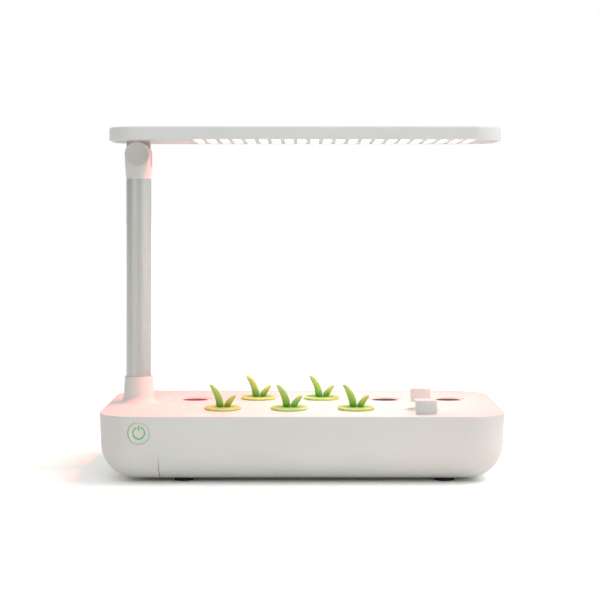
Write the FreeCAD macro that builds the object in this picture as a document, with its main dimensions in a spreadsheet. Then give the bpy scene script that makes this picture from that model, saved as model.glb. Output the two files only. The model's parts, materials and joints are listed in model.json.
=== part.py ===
import FreeCAD, Part
import Sketcher
import math
import os

# Countertop hydroponic garden: a rounded base with a water tank and a control housing,
# a planting deck with eight pod holes, and a lamp on a pole at the left.
# Millimetres, X to the right, Y to the back, Z up. Each piece is drawn about the middle
# of the base and then moved by origin_shift, which centres base and lamp on the origin.

SIZES = {
    # base
    "base_length": 390.0,
    "base_depth": 215.0,
    "deck_height": 65.7,
    "deck_edge": 1.8,
    "deck_rim_round": 0.5,
    "foot_height": 3.0,
    "foot_radius": 9.5,
    "foot_from_left": 81.0,
    "foot_from_right": 58.0,
    "foot_from_front": 39.5,
    "corner_round": 38.0,
    "bottom_round": 34.0,
    "side_draft": 2.5,
    "shell_wall": 2.5,
    "seam_from_left": 59.3,
    "seam_open": 0.45,
    "seam_closed": 0.01,
    # planting deck
    "pod_from_seam": 25.7,
    "pod_from_right": 45.0,
    "pod_back_out": 32.5,
    "pod_front_out": 52.5,
    "pod_radius": 13.5,
    "pod_recess_radius": 17.25,
    "pod_recess_depth": 1.2,
    "pod_ring_radius": 19.5,
    "pod_floor": 1.8,
    "pod_sleeve_wall": 1.5,
    "pod_sleeve_depth": 9.0,
    "skirt_wall": 1.6,
    "skirt_depth": 6.0,
    "seat_gap": 0.3,
    "slide_gap": 0.5,
    # filling port and the two tabs beside it
    "port_bore": 15.3,
    "port_flange": 19.0,
    "port_flange_thick": 1.0,
    "port_tube_wall": 1.4,
    "port_tube_depth": 12.0,
    "tab_width": 20.5,
    "tab_depth": 15.0,
    "tab_height": 13.6,
    "tab_lip": 1.7,
    "tab_hollow": 3.8,
    "tab_web": 4.0,
    "tab_side": 1.6,
    "tab_front_past_port": 0.5,
    "tab_back_past_port": 2.5,
    "tab_front_from_edge": 13.5,
    "tab_back_from_row": 28.5,
    "tab_peg_radius": 1.6,
    "tab_peg_length": 3.5,
    "tab_peg_out": 6.0,
    # sprout caps
    "cap_radius": 18.1,
    "cap_thick": 2.8,
    "cap_dish": 0.5,
    "cap_plug_radius": 12.9,
    "cap_plug_wall": 1.6,
    "cap_plug_depth": 7.0,
    "leaf_tall_rise": 23.0,
    "leaf_tall_foot": 2.4,
    "leaf_tall_width": 3.9,
    "leaf_tall_lean": 0.0,
    "leaf_tall_sweep": 49.0,
    "leaf_short_rise": 11.9,
    "leaf_short_foot": 4.6,
    "leaf_short_width": 3.0,
    "leaf_short_lean": 20.0,
    "leaf_short_sweep": 38.0,
    "leaf_flatness": 0.62,
    # power button and what stands behind it
    "button_from_left": 41.2,
    "button_rise": 50.0,
    "button_radius": 10.6,
    "button_gap": 0.15,
    "button_dish": 1.3,
    "button_flange": 1.3,
    "button_flange_thick": 1.2,
    "button_stem_radius": 2.2,
    "button_travel": 0.8,
    "symbol_radius": 5.5,
    "symbol_stroke": 1.5,
    "symbol_bar": 7.4,
    "symbol_gap_half": 1.9,
    "symbol_depth": 2.4,
    "board_left": 20.0,
    "board_right": 14.0,
    "board_up": 12.0,
    "board_down": 24.0,
    "board_thick": 1.6,
    "board_back": 13.0,
    "switch_width": 7.0,
    "switch_depth": 4.0,
    "plunger_radius": 1.7,
    "plunger_front": 7.2,
    "plunger_length": 3.8,
    "board_post_radius": 3.2,
    "board_post_inset": 4.0,
    "inlet_from_left": 44.0,
    "inlet_rise": 50.0,
    "inlet_radius": 5.5,
    "inlet_flange": 6.8,
    "inlet_flange_thick": 1.0,
    "inlet_sink": 1.3,
    "inlet_length": 13.0,
    "inlet_bore": 2.75,
    "inlet_bore_depth": 9.0,
    "inlet_pin": 1.0,
    # pump in the tank
    "pump_length": 34.0,
    "pump_width": 42.0,
    "pump_height": 30.0,
    "pump_round": 4.0,
    "pump_off_wall": 7.0,
    "pump_front": 29.0,
    "pump_cup_radius": 5.0,
    "pump_cup_height": 4.0,
    "pump_nozzle_radius": 4.0,
    "pump_nozzle_bore": 2.6,
    "pump_nozzle_height": 7.0,
    "gland_radius": 4.5,
    "gland_head": 6.5,
    "gland_head_thick": 1.6,
    "gland_rise": 26.0,
    # pole and the socket that carries it
    "pole_from_left": 30.0,
    "pole_radius": 12.6,
    "pole_wall": 1.5,
    "pole_top": 226.2,
    "collar_height": 27.3,
    "collar_top_radius": 14.15,
    "collar_foot_radius": 14.9,
    "collar_foot_round": 8.5,
    "fit_gap": 0.05,
    "cut_past": 30.0,
    "socket_seat": 26.0,
    "socket_post_radius": 4.6,
    "socket_post_out_x": 17.0,
    "socket_post_out_y": 24.0,
    "socket_margin": 5.0,
    "socket_plate": 4.0,
    "socket_floor": 2.0,
    "socket_wall": 3.2,
    "socket_height": 26.0,
    "lead_radius": 2.6,
    "lead_tail": 9.0,
    # screws
    "screw_radius": 1.5,
    "screw_head_radius": 3.0,
    "screw_head_height": 2.0,
    "screw_bite": 6.0,
    "cover_post_radius": 4.8,
    "cover_post_top": 48.0,
    "cover_post_cap": 2.4,
    "cover_screw_out_near": 64.0,
    "cover_screw_out_far": 50.0,
    "cover_screw_far": 17.0,
    "cover_screw_near": 48.5,
    "joining_out": 40.0,
    "joining_low": 22.0,
    "joining_high": 50.0,
    "joining_boss": 4.0,
    "joining_boss_length": 5.0,
    # pole head and hinge
    "hinge_rise": 250.5,
    "hub_radius": 12.6,
    "head_depth": 28.0,
    "neck_round": 2.5,
    "neck_straight": 8.0,
    "ear_thick": 7.0,
    "slot_floor": 12.4,
    "spigot_length": 18.0,
    "lug_width": 23.2,
    "washer_thick": 0.6,
    "washer_radius": 8.0,
    "washer_gap": 0.1,
    "pin_radius": 2.5,
    "pin_head_radius": 4.5,
    "pin_head_height": 2.4,
    "nut_flats": 8.0,
    "nut_height": 3.0,
    "cover_disc_radius": 12.0,
    "cover_disc_thick": 1.6,
    # lamp
    "lamp_length": 389.7,
    "lamp_overhang": 3.0,
    "lamp_depth": 104.0,
    "lamp_rise": 263.4,
    "lamp_thick": 12.9,
    "lamp_round": 31.0,
    "lamp_edge_round": 1.8,
    "lamp_wall": 2.0,
    "grille_thick": 2.0,
    "grille_gap": 0.2,
    "grille_rim": 1.4,
    "grille_rim_height": 4.0,
    "window_count": 22,
    "window_pitch": 12.84,
    "window_width": 8.5,
    "window_first": 102.9,
    "window_margin": 6.0,
    "window_round": 1.5,
    "diffuser_thick": 1.2,
    "diffuser_lap": 0.8,
    "diffuser_end_lap": 3.0,
    "led_board_thick": 1.6,
    "led_board_margin": 10.0,
    "led_boss_height": 2.0,
    "led_boss_radius": 3.5,
    "led_length": 3.5,
    "led_width": 2.8,
    "led_height": 1.0,
    "led_rows": 3,
    "led_columns": 11,
    "led_row_pitch": 26.0,
    "bracket_length": 58.0,
    "bracket_depth": 60.0,
    "bracket_thick": 2.6,
}

doc = FreeCAD.newDocument("hydroponic_garden")


class Size:
    """A length with the spreadsheet formula that it comes from."""

    def __init__(self, value, formula):
        self.value = value
        self.formula = formula

    def __add__(self, other):
        other = as_size(other)
        return Size(self.value + other.value, f"({self.formula} + {other.formula})")

    def __sub__(self, other):
        other = as_size(other)
        return Size(self.value - other.value, f"({self.formula} - {other.formula})")

    def __mul__(self, factor):
        factor = as_size(factor)
        return Size(self.value * factor.value, f"({self.formula} * {factor.formula})")

    def __truediv__(self, divisor):
        divisor = as_size(divisor)
        return Size(self.value / divisor.value, f"({self.formula} / {divisor.formula})")

    def __neg__(self):
        return Size(-self.value, f"(0 - {self.formula})")

    def __radd__(self, other):
        return as_size(other) + self

    def __rsub__(self, other):
        return as_size(other) - self

    __rmul__ = __mul__


def as_size(number):
    if isinstance(number, Size):
        return number
    return Size(float(number), repr(float(number)))


def smaller(first, second):
    first, second = as_size(first), as_size(second)
    return Size(min(first.value, second.value), f"min({first.formula}; {second.formula})")


def slope(angle):
    return Size(math.tan(math.radians(angle.value)), f"tan({angle.formula})")


def make_sheet():
    sheet = doc.addObject("Spreadsheet::Sheet", "Sizes")
    for row, (name, value) in enumerate(SIZES.items(), start=1):
        sheet.set(f"A{row}", name)
        sheet.set(f"B{row}", str(value))
        sheet.setAlias(f"B{row}", name)
    doc.recompute()
    return {name: Size(float(sheet.get(name)), f"Sizes.{name}") for name in SIZES}


size = make_sheet()

# Levels and places that several pieces share
wall_top = size["deck_height"] - size["deck_edge"]
floor_low = size["foot_height"]
floor_high = floor_low + size["shell_wall"]
left_end = -size["base_length"] / 2
seam_x = left_end + size["seam_from_left"]
draft_loss = (wall_top - floor_low) * slope(size["side_draft"])
bottom_fillet = smaller(size["bottom_round"], size["corner_round"] - draft_loss - 1.0)
fillet_start = floor_low + bottom_fillet
pole_x = left_end + size["pole_from_left"]
collar_top = size["deck_height"] + size["collar_height"]
pole_end = size["deck_height"] + size["pole_top"]
socket_plate_high = size["socket_seat"] + size["socket_plate"]
pole_foot = size["socket_seat"] + size["socket_floor"]
hinge_z = size["deck_height"] + size["hinge_rise"]
slot_low = hinge_z - size["slot_floor"]
head_half = size["head_depth"] / 2
ear_inner = head_half - size["ear_thick"]
lamp_low = size["deck_height"] + size["lamp_rise"]
lamp_high = lamp_low + size["lamp_thick"]
lamp_ceiling = lamp_high - size["lamp_wall"]
lamp_right = size["lamp_length"] / 2 + size["lamp_overhang"]
lamp_left = lamp_right - size["lamp_length"]
led_board_high = lamp_ceiling - size["led_boss_height"]
led_board_low = led_board_high - size["led_board_thick"]
bracket_low = lamp_ceiling - size["bracket_thick"]
bracket_left = lamp_left + 2 * size["lamp_wall"]
bracket_right = bracket_left + size["bracket_length"]
origin_shift = (size["base_length"] / 2 - lamp_right) / 2


def bind(item, **places):
    """Ties properties of an object to spreadsheet formulas; __ stands for a dot."""
    for path, value in places.items():
        item.setExpression(path.replace("__", "."), as_size(value).formula)
    return item


def put(item, x=0, y=0, z=0):
    return bind(item, Placement__Base__x=x, Placement__Base__y=y, Placement__Base__z=z)


def box(name, left, right, front, back, low, high):
    item = doc.addObject("Part::Box", name)
    left, front, low = as_size(left), as_size(front), as_size(low)
    bind(item, Length=as_size(right) - left, Width=as_size(back) - front, Height=as_size(high) - low)
    return put(item, left, front, low)


def cylinder(name, radius, length, x=0, y=0, z=0, along="z"):
    """A cylinder that starts at x, y, z and runs along a positive axis."""
    item = doc.addObject("Part::Cylinder", name)
    turns = {
        "x": FreeCAD.Rotation(FreeCAD.Vector(0, 1, 0), 90),
        "y": FreeCAD.Rotation(FreeCAD.Vector(1, 0, 0), -90),
        "z": FreeCAD.Rotation(),
    }
    item.Placement = FreeCAD.Placement(FreeCAD.Vector(), turns[along])
    bind(item, Radius=radius, Height=length)
    return put(item, x, y, z)


def fuse(name, pieces):
    item = doc.addObject("Part::MultiFuse", name)
    item.Shapes = pieces
    return item


def cut(name, base, tools):
    item = doc.addObject("Part::Cut", name)
    item.Base = base
    item.Tool = tools[0] if len(tools) == 1 else fuse(f"{name}_tools", tools)
    return item


def common(name, first, second):
    item = doc.addObject("Part::Common", name)
    item.Base = first
    item.Tool = second
    return item


finished = []


def finish(item, label, x=0, y=0, z=0):
    """Names a finished sub-part and moves it from the middle of the base to the origin."""
    item.Label = label
    put(item, origin_shift + x, y, z)
    finished.append(item)
    return item


def origin_plane(body, role):
    return [plane for plane in body.Origin.OriginFeatures if plane.Role == role][0]


def sketch_on(body, name, role="XY_Plane", level=0):
    sketch = body.newObject("Sketcher::SketchObject", name)
    sketch.AttachmentSupport = (origin_plane(body, role), "")
    sketch.MapMode = "FlatFace"
    return bind(sketch, AttachmentOffset__Base__z=level)


def hold(sketch, kind, *where):
    """Adds a constraint whose last value is a size."""
    value = as_size(where[-1])
    index = sketch.addConstraint(Sketcher.Constraint(kind, *where[:-1], value.value))
    sketch.setExpression(f"Constraints[{index}]", value.formula)


def pin_point(sketch, curve, end, x, y):
    hold(sketch, "DistanceX", -1, 1, curve, end, x)
    hold(sketch, "DistanceY", -1, 1, curve, end, y)


def closed_outline(sketch, points, arcs=()):
    """Straight runs through the points; arcs gives (first point, centre, radius) of a round run."""
    points = [(as_size(x), as_size(y)) for x, y in points]
    round_runs = {first: (centre, as_size(radius)) for first, centre, radius in arcs}
    starts, ends = [], []
    for index, (x, y) in enumerate(points):
        next_x, next_y = points[(index + 1) % len(points)]
        here = FreeCAD.Vector(x.value, y.value, 0)
        there = FreeCAD.Vector(next_x.value, next_y.value, 0)
        if index in round_runs:
            centre, radius = round_runs[index]
            middle = FreeCAD.Vector(as_size(centre[0]).value, as_size(centre[1]).value, 0)
            from_angle = math.atan2(here.y - middle.y, here.x - middle.x)
            to_angle = math.atan2(there.y - middle.y, there.x - middle.x)
            turns_left = (to_angle - from_angle) % (2 * math.pi) < math.pi
            if not turns_left:
                from_angle, to_angle = to_angle, from_angle
            circle = Part.Circle(middle, FreeCAD.Vector(0, 0, 1), radius.value)
            curve = sketch.addGeometry(Part.ArcOfCircle(circle, from_angle, to_angle))
            starts.append((curve, 1 if turns_left else 2))
            ends.append((curve, 2 if turns_left else 1))
        else:
            curve = sketch.addGeometry(Part.LineSegment(here, there))
            starts.append((curve, 1))
            ends.append((curve, 2))
    for index, (x, y) in enumerate(points):
        sketch.addConstraint(Sketcher.Constraint("Coincident", *ends[index - 1], *starts[index]))
        pin_point(sketch, *starts[index], x, y)
        if index in round_runs:
            hold(sketch, "Radius", starts[index][0], round_runs[index][1])


def rounded_rectangle(sketch, left, right, front, back, radius):
    left, right, front, back = map(as_size, (left, right, front, back))
    radius = as_size(radius)
    x_low, x_high, y_low, y_high = left.value, right.value, front.value, back.value
    r = radius.value
    vector, up = FreeCAD.Vector, FreeCAD.Vector(0, 0, 1)
    corners = [
        (vector(x_high - r, y_low + r, 0), -0.5 * math.pi),
        (vector(x_high - r, y_high - r, 0), 0.0),
        (vector(x_low + r, y_high - r, 0), 0.5 * math.pi),
        (vector(x_low + r, y_low + r, 0), math.pi),
    ]
    runs = [
        (vector(x_low + r, y_low, 0), vector(x_high - r, y_low, 0), "Horizontal"),
        (vector(x_high, y_low + r, 0), vector(x_high, y_high - r, 0), "Vertical"),
        (vector(x_high - r, y_high, 0), vector(x_low + r, y_high, 0), "Horizontal"),
        (vector(x_low, y_high - r, 0), vector(x_low, y_low + r, 0), "Vertical"),
    ]
    lines, bends = [], []
    for (start, end, _), (centre, angle) in zip(runs, corners):
        lines.append(sketch.addGeometry(Part.LineSegment(start, end)))
        circle = Part.Circle(centre, up, r)
        bends.append(sketch.addGeometry(Part.ArcOfCircle(circle, angle, angle + 0.5 * math.pi)))
    for index in range(4):
        sketch.addConstraint(Sketcher.Constraint("Tangent", lines[index], 2, bends[index], 1))
        sketch.addConstraint(Sketcher.Constraint("Tangent", bends[index - 1], 2, lines[index], 1))
        sketch.addConstraint(Sketcher.Constraint(runs[index][2], lines[index]))
    for bend in bends[1:]:
        sketch.addConstraint(Sketcher.Constraint("Equal", bends[0], bend))
    hold(sketch, "Radius", bends[0], radius)
    hold(sketch, "DistanceY", -1, 1, lines[0], 1, front)
    hold(sketch, "DistanceX", -1, 1, lines[1], 1, right)
    hold(sketch, "DistanceY", -1, 1, lines[2], 1, back)
    hold(sketch, "DistanceX", -1, 1, lines[3], 1, left)


def pad(body, sketch, length, down=False, draft=None):
    item = body.newObject("PartDesign::Pad", f"{sketch.Name}_pad")
    item.Profile = sketch
    item.Reversed = down
    bind(item, Length=length)
    if draft is not None:
        bind(item, TaperAngle=-draft)
    return item


def pocket(body, sketch, depth, up=False):
    item = body.newObject("PartDesign::Pocket", f"{sketch.Name}_pocket")
    item.Profile = sketch
    item.Reversed = up
    bind(item, Length=depth)
    return item


def round_edges(body, radius, lowest=False, highest=False):
    """Rounds all edges that lie in the lowest or the highest plane of the body so far."""
    doc.recompute()
    base = body.Tip
    bounds = base.Shape.BoundBox
    names = []
    for number, edge in enumerate(base.Shape.Edges, start=1):
        low, high = edge.BoundBox.ZMin, edge.BoundBox.ZMax
        if (lowest and high < bounds.ZMin + 0.01) or (highest and low > bounds.ZMax - 0.01):
            names.append(f"Edge{number}")
    item = body.newObject("PartDesign::Fillet", f"{body.Name}_round")
    item.Base = (base, names)
    return bind(item, Radius=radius)


def rounded_block(name, left, right, front, back, radius, level, length, down=False, draft=None):
    body = doc.addObject("PartDesign::Body", name)
    sketch = sketch_on(body, f"{name}_outline", level=level)
    rounded_rectangle(sketch, left, right, front, back, radius)
    pad(body, sketch, length, down, draft)
    return body


def base_block(name, inset, level, length, down=False, draft=None):
    """The plan of the base, drawn smaller by the inset all round."""
    half_x = size["base_length"] / 2 - inset
    half_y = size["base_depth"] / 2 - inset
    radius = size["corner_round"] - inset
    return rounded_block(name, -half_x, half_x, -half_y, half_y, radius, level, length, down, draft)


def left_of(name, x, item):
    """What an item has left of x."""
    half = size["base_length"]
    return common(name, item, box(f"{name}_side", -half, x, -half, half, -half, half))


def right_of(name, x, item):
    half = size["base_length"]
    return common(name, item, box(f"{name}_side", x, half, -half, half, -half, half))


def screw(name, x, y, z, reach, along="z", down=False):
    """A screw whose head rests at z and whose shank reaches away from it."""
    turn = {"z": FreeCAD.Vector(0, 0, 1), "x": FreeCAD.Vector(1, 0, 0)}[along]
    if down:
        turn = turn * -1
    rotation = FreeCAD.Rotation(FreeCAD.Vector(0, 0, 1), turn)
    shank = doc.addObject("Part::Cylinder", f"{name}_shank")
    head = doc.addObject("Part::Cylinder", f"{name}_head")
    bind(shank, Radius=size["screw_radius"], Height=reach)
    bind(head, Radius=size["screw_head_radius"], Height=size["screw_head_height"])
    shank.Placement.Rotation = rotation
    head.Placement.Rotation = rotation
    back = size["screw_head_height"]
    put(shank, x, y, z)
    put(head, x - back * turn.x, y, as_size(z) - back * turn.z)
    return fuse(name, [shank, head])


screw_hole = size["screw_radius"] + size["fit_gap"]
past = size["cut_past"]  # how far a cutting tool runs clear of the piece

# Outer and inner form of the base, which its two housings share
outer_form = base_block("outer_form", as_size(0), wall_top, wall_top - floor_low, True, size["side_draft"])
round_edges(outer_form, bottom_fillet, lowest=True)
inner_form = base_block(
    "inner_form", size["shell_wall"], wall_top, wall_top - floor_high, True, size["side_draft"]
)
round_edges(inner_form, bottom_fillet - size["shell_wall"], lowest=True)
top_form = base_block("top_form", as_size(0), wall_top, size["deck_edge"])
round_edges(top_form, size["deck_rim_round"], highest=True)
skirt_inset = size["shell_wall"] + size["slide_gap"]
skirt_outer = base_block("skirt_outer", skirt_inset, wall_top, size["skirt_depth"], True, size["side_draft"])
skirt_inner = base_block(
    "skirt_inner",
    skirt_inset + size["skirt_wall"],
    wall_top,
    size["skirt_depth"],
    True,
    size["side_draft"],
)


def drafted_wall(height):
    """How far the outer wall lies from the middle of the base at a height, front or back."""
    return size["base_depth"] / 2 - (wall_top - height) * slope(size["side_draft"])


# The power button's own frame: its axis runs square through the leaning front wall
button_x = left_end + size["button_from_left"]
button_y = -drafted_wall(size["button_rise"])
lean = math.radians(size["side_draft"].value)
button_turn = FreeCAD.Rotation(FreeCAD.Vector(1, 0, 0), size["side_draft"].value - 90)
into_y = Size(math.cos(lean), f"cos({size['side_draft'].formula})")
into_z = Size(math.sin(lean), f"sin({size['side_draft'].formula})")


def from_button(item, across=0, down=0, depth=0):
    """Places an item in the button's frame: across to the right, down the wall, into the wall."""
    across, down, depth = map(as_size, (across, down, depth))
    item.Placement.Rotation = button_turn
    return put(
        item,
        button_x + across,
        button_y + depth * into_y + down * into_z,
        size["button_rise"] + depth * into_z - down * into_y,
    )


def wall_cylinder(name, radius, depth, length, across=0, down=0):
    item = doc.addObject("Part::Cylinder", name)
    bind(item, Radius=radius, Height=length)
    return from_button(item, across, down, depth)


def wall_box(name, left, right, up, down, depth, length):
    item = doc.addObject("Part::Box", name)
    left, up = as_size(left), as_size(up)
    bind(item, Length=as_size(right) - left, Width=as_size(down) - up, Height=length)
    return from_button(item, left, up, depth)


board_posts = [
    (-(size["board_left"] - size["board_post_inset"]), -(size["board_up"] - size["board_post_inset"])),
    (-(size["board_left"] - size["board_post_inset"]), size["board_down"] - size["board_post_inset"]),
    (size["board_right"] - size["board_post_inset"], size["board_down"] - size["board_post_inset"]),
]
cover_posts = [
    (left_end + size["cover_screw_near"], -size["cover_screw_out_near"]),
    (left_end + size["cover_screw_near"], size["cover_screw_out_near"]),
    (left_end + size["cover_screw_far"], -size["cover_screw_out_far"]),
    (left_end + size["cover_screw_far"], size["cover_screw_out_far"]),
]
socket_posts = [
    (pole_x + side_x * size["socket_post_out_x"], side_y * size["socket_post_out_y"])
    for side_x in (-1, 1)
    for side_y in (-1, 1)
]
joining_places = [
    (side * size["joining_out"], size[level])
    for side in (-1, 1)
    for level in ("joining_low", "joining_high")
]
inlet_x = left_end + size["inlet_from_left"]
inlet_y = drafted_wall(size["inlet_rise"]) - size["inlet_sink"]
gland_y = -size["pump_front"]
cover_post_ledge = size["cover_post_top"] - size["cover_post_cap"]
post_hole_depth = size["screw_bite"] + 1.0


def seam_wedge(name):
    """The two housings touch above the bottom rounding and part gently below it."""
    item = doc.addObject("Part::Wedge", name)
    item.Placement.Rotation = FreeCAD.Rotation(FreeCAD.Vector(1, 0, 0), 90)
    bind(
        item,
        Xmin=-size["seam_open"],
        Xmax=size["seam_open"],
        X2min=-size["seam_closed"],
        X2max=size["seam_closed"],
        Ymin=0,
        Ymax=fillet_start,
        Zmin=-size["base_depth"],
        Zmax=size["base_depth"],
        Z2min=-size["base_depth"],
        Z2max=size["base_depth"],
    )
    return put(item, seam_x, 0, 0)


def control_housing():
    shell = cut(
        "housing_shell",
        left_of("housing_outer", seam_x, outer_form),
        [left_of("housing_inner", seam_x - size["shell_wall"], inner_form)],
    )
    posts = []
    for number, (x, y) in enumerate(cover_posts):
        posts.append(
            cylinder(f"cover_post_{number}", size["cover_post_radius"], size["cover_post_top"], x, y)
        )
    for number, (x, y) in enumerate(socket_posts):
        posts.append(cylinder(f"socket_post_{number}", size["socket_post_radius"], size["socket_seat"], x, y))
    for number, (across, down) in enumerate(board_posts):
        posts.append(
            wall_cylinder(
                f"board_post_{number}",
                size["board_post_radius"],
                size["shell_wall"] / 4,
                size["board_back"] - size["shell_wall"] / 4,
                across,
                down,
            )
        )
    body = fuse(
        "housing_body", [shell, common("housing_posts", fuse("housing_all_posts", posts), outer_form)]
    )
    holes = [seam_wedge("housing_seam")]
    for number, (x, y) in enumerate(cover_posts):
        head_hole = size["screw_head_radius"] + size["seat_gap"]
        holes.append(cylinder(f"cover_head_{number}", head_hole, cover_post_ledge, x, y))
        holes.append(cylinder(f"cover_shank_{number}", screw_hole, size["cover_post_top"] + 1, x, y))
    for number, (x, y) in enumerate(socket_posts):
        low = size["socket_seat"] - post_hole_depth
        holes.append(cylinder(f"socket_pilot_{number}", screw_hole, post_hole_depth + 1, x, y, low))
    for number, (across, down) in enumerate(board_posts):
        low = size["board_back"] - post_hole_depth
        holes.append(
            wall_cylinder(f"board_pilot_{number}", screw_hole, low, post_hole_depth + 1, across, down)
        )
    for number, (y, z) in enumerate(joining_places):
        low = seam_x - size["shell_wall"] - 1
        holes.append(cylinder(f"joining_hole_{number}", screw_hole, size["shell_wall"] + 2, low, y, z, "x"))
    holes.append(
        wall_cylinder(
            "button_hole", size["button_radius"] + size["button_gap"], as_size(-2), size["shell_wall"] + 4
        )
    )
    flange_room = size["button_radius"] + size["button_flange"] + size["button_gap"]
    room_low = size["shell_wall"] + 2 * size["fit_gap"]
    holes.append(wall_cylinder("button_flange_room", flange_room, room_low, size["board_back"] / 2))
    holes.append(
        cylinder(
            "inlet_hole",
            size["inlet_radius"] + size["fit_gap"],
            20,
            inlet_x,
            inlet_y - 10,
            size["inlet_rise"],
            "y",
        )
    )
    holes.append(
        cylinder(
            "inlet_recess",
            size["inlet_flange"] + size["fit_gap"],
            10,
            inlet_x,
            inlet_y,
            size["inlet_rise"],
            "y",
        )
    )
    gland_hole = size["gland_radius"] + size["fit_gap"]
    low = seam_x - size["shell_wall"] - 1
    holes.append(
        cylinder(
            "housing_gland_hole", gland_hole, size["shell_wall"] + 2, low, gland_y, size["gland_rise"], "x"
        )
    )
    finish(cut("control_housing_made", body, holes), "control_housing")


def water_tank():
    shell = cut(
        "tank_shell",
        right_of("tank_outer", seam_x, outer_form),
        [right_of("tank_inner", seam_x + size["shell_wall"], inner_form)],
    )
    inside = seam_x + size["shell_wall"]
    bosses = [shell]
    holes = [seam_wedge("tank_seam")]
    for number, (y, z) in enumerate(joining_places):
        bosses.append(
            cylinder(
                f"joining_boss_{number}",
                size["joining_boss"],
                size["joining_boss_length"] + 1,
                inside - 1,
                y,
                z,
                "x",
            )
        )
        reach = size["shell_wall"] + size["joining_boss_length"] - 1
        holes.append(cylinder(f"joining_pilot_{number}", screw_hole, reach + 1, seam_x - 1, y, z, "x"))
    gland_hole = size["gland_radius"] + size["fit_gap"]
    holes.append(
        cylinder(
            "tank_gland_hole",
            gland_hole,
            size["shell_wall"] + 2,
            seam_x - 1,
            gland_y,
            size["gland_rise"],
            "x",
        )
    )
    finish(cut("water_tank_made", fuse("tank_body", bosses), holes), "water_tank")


def joining_screws():
    x = seam_x - size["shell_wall"]
    reach = 2 * size["shell_wall"] + size["joining_boss_length"] - 2
    screws = [screw(f"joining_screw_{n}", x, y, z, reach, "x") for n, (y, z) in enumerate(joining_places)]
    finish(fuse("joining_screws_made", screws), "joining_screws")


def rubber_feet():
    left = left_end + size["foot_from_left"]
    right = -left_end - size["foot_from_right"]
    out = size["base_depth"] / 2 - size["foot_from_front"]
    feet = []
    for number, (x, side) in enumerate([(left, -1), (right, -1), (right, 1), (left, 1)]):
        feet.append(cylinder(f"foot_{number}", size["foot_radius"], size["foot_height"], x, side * out))
    finish(fuse("rubber_feet_made", feet), "rubber_feet")


def pole_cover():
    plate = left_of("cover_plate", seam_x, top_form)
    inside = seam_x - size["shell_wall"] - size["slide_gap"]
    skirt = cut(
        "cover_skirt",
        left_of("cover_skirt_outer", inside, skirt_outer),
        [left_of("cover_skirt_inner", inside - size["skirt_wall"], skirt_inner)],
    )
    collar = doc.addObject("PartDesign::Body", "collar")
    sketch = sketch_on(collar, "collar_outline", "XZ_Plane")
    foot_reach = size["collar_foot_radius"] + size["collar_foot_round"]
    round_top = size["deck_height"] + size["collar_foot_round"]
    bore = size["pole_radius"] + size["fit_gap"]
    points = [
        (bore, wall_top),
        (foot_reach, wall_top),
        (foot_reach, size["deck_height"]),
        (size["collar_foot_radius"], round_top),
        (size["collar_top_radius"], collar_top),
        (bore, collar_top),
    ]
    closed_outline(sketch, points, [(2, (foot_reach, round_top), size["collar_foot_round"])])
    turned = collar.newObject("PartDesign::Revolution", "collar_turned")
    turned.Profile = sketch
    turned.ReferenceAxis = (sketch, ["V_Axis"])
    turned.Angle = 360
    put(collar, pole_x, 0, 0)
    bosses = []
    for number, (x, y) in enumerate(cover_posts):
        low = size["cover_post_top"]
        bosses.append(
            cylinder(f"cover_boss_{number}", size["cover_post_radius"], wall_top - low + 0.5, x, y, low)
        )
    body = fuse("cover_body", [plate, skirt, collar] + bosses)
    holes = [cylinder("cover_bore", bore, size["deck_height"], pole_x, 0, wall_top - 5)]
    notch_left = button_x - size["board_left"] - size["board_post_inset"]
    notch_back = button_y + size["board_back"] + 2 * size["board_thick"] + size["screw_head_height"]
    holes.append(
        box("cover_notch", notch_left, seam_x + 1, -size["base_depth"], notch_back, floor_high, wall_top)
    )
    for number, (x, y) in enumerate(cover_posts):
        low = size["cover_post_top"] - 1
        holes.append(cylinder(f"cover_pilot_{number}", screw_hole, post_hole_depth + 1, x, y, low))
    finish(cut("pole_cover_made", body, holes), "pole_cover")


def pole_cover_screws():
    reach = size["cover_post_cap"] + size["screw_bite"]
    screws = [
        screw(f"cover_screw_{n}", x, y, cover_post_ledge, reach)
        for n, (x, y) in enumerate(cover_posts)
    ]
    finish(fuse("pole_cover_screws_made", screws), "pole_cover_screws")


def pole_socket():
    low = size["socket_seat"]
    half_x = size["socket_post_out_x"] + size["socket_margin"]
    half_y = size["socket_post_out_y"] + size["socket_margin"]
    plate = box(
        "socket_plate_block", pole_x - half_x, pole_x + half_x, -half_y, half_y, low, socket_plate_high
    )
    outer = size["pole_radius"] + size["fit_gap"] + size["socket_wall"]
    sleeve = cylinder("socket_sleeve", outer, size["socket_height"], pole_x, 0, low)
    bore = cylinder(
        "socket_bore", size["pole_radius"] + size["fit_gap"], size["socket_height"], pole_x, 0, pole_foot
    )
    lead = cylinder("socket_lead_hole", size["lead_radius"] + size["fit_gap"], 2 * past, pole_x, 0, low - past)
    holes = [bore, lead]
    for number, (x, y) in enumerate(socket_posts):
        holes.append(cylinder(f"socket_screw_hole_{number}", screw_hole, 2 * past, x, y, low - past))
    finish(cut("pole_socket_made", fuse("socket_body", [plate, sleeve]), holes), "pole_socket")


def pole_socket_screws():
    reach = size["socket_plate"] + size["screw_bite"]
    screws = [
        screw(f"socket_screw_{n}", x, y, socket_plate_high, reach, down=True)
        for n, (x, y) in enumerate(socket_posts)
    ]
    finish(fuse("pole_socket_screws_made", screws), "pole_socket_screws")


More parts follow.
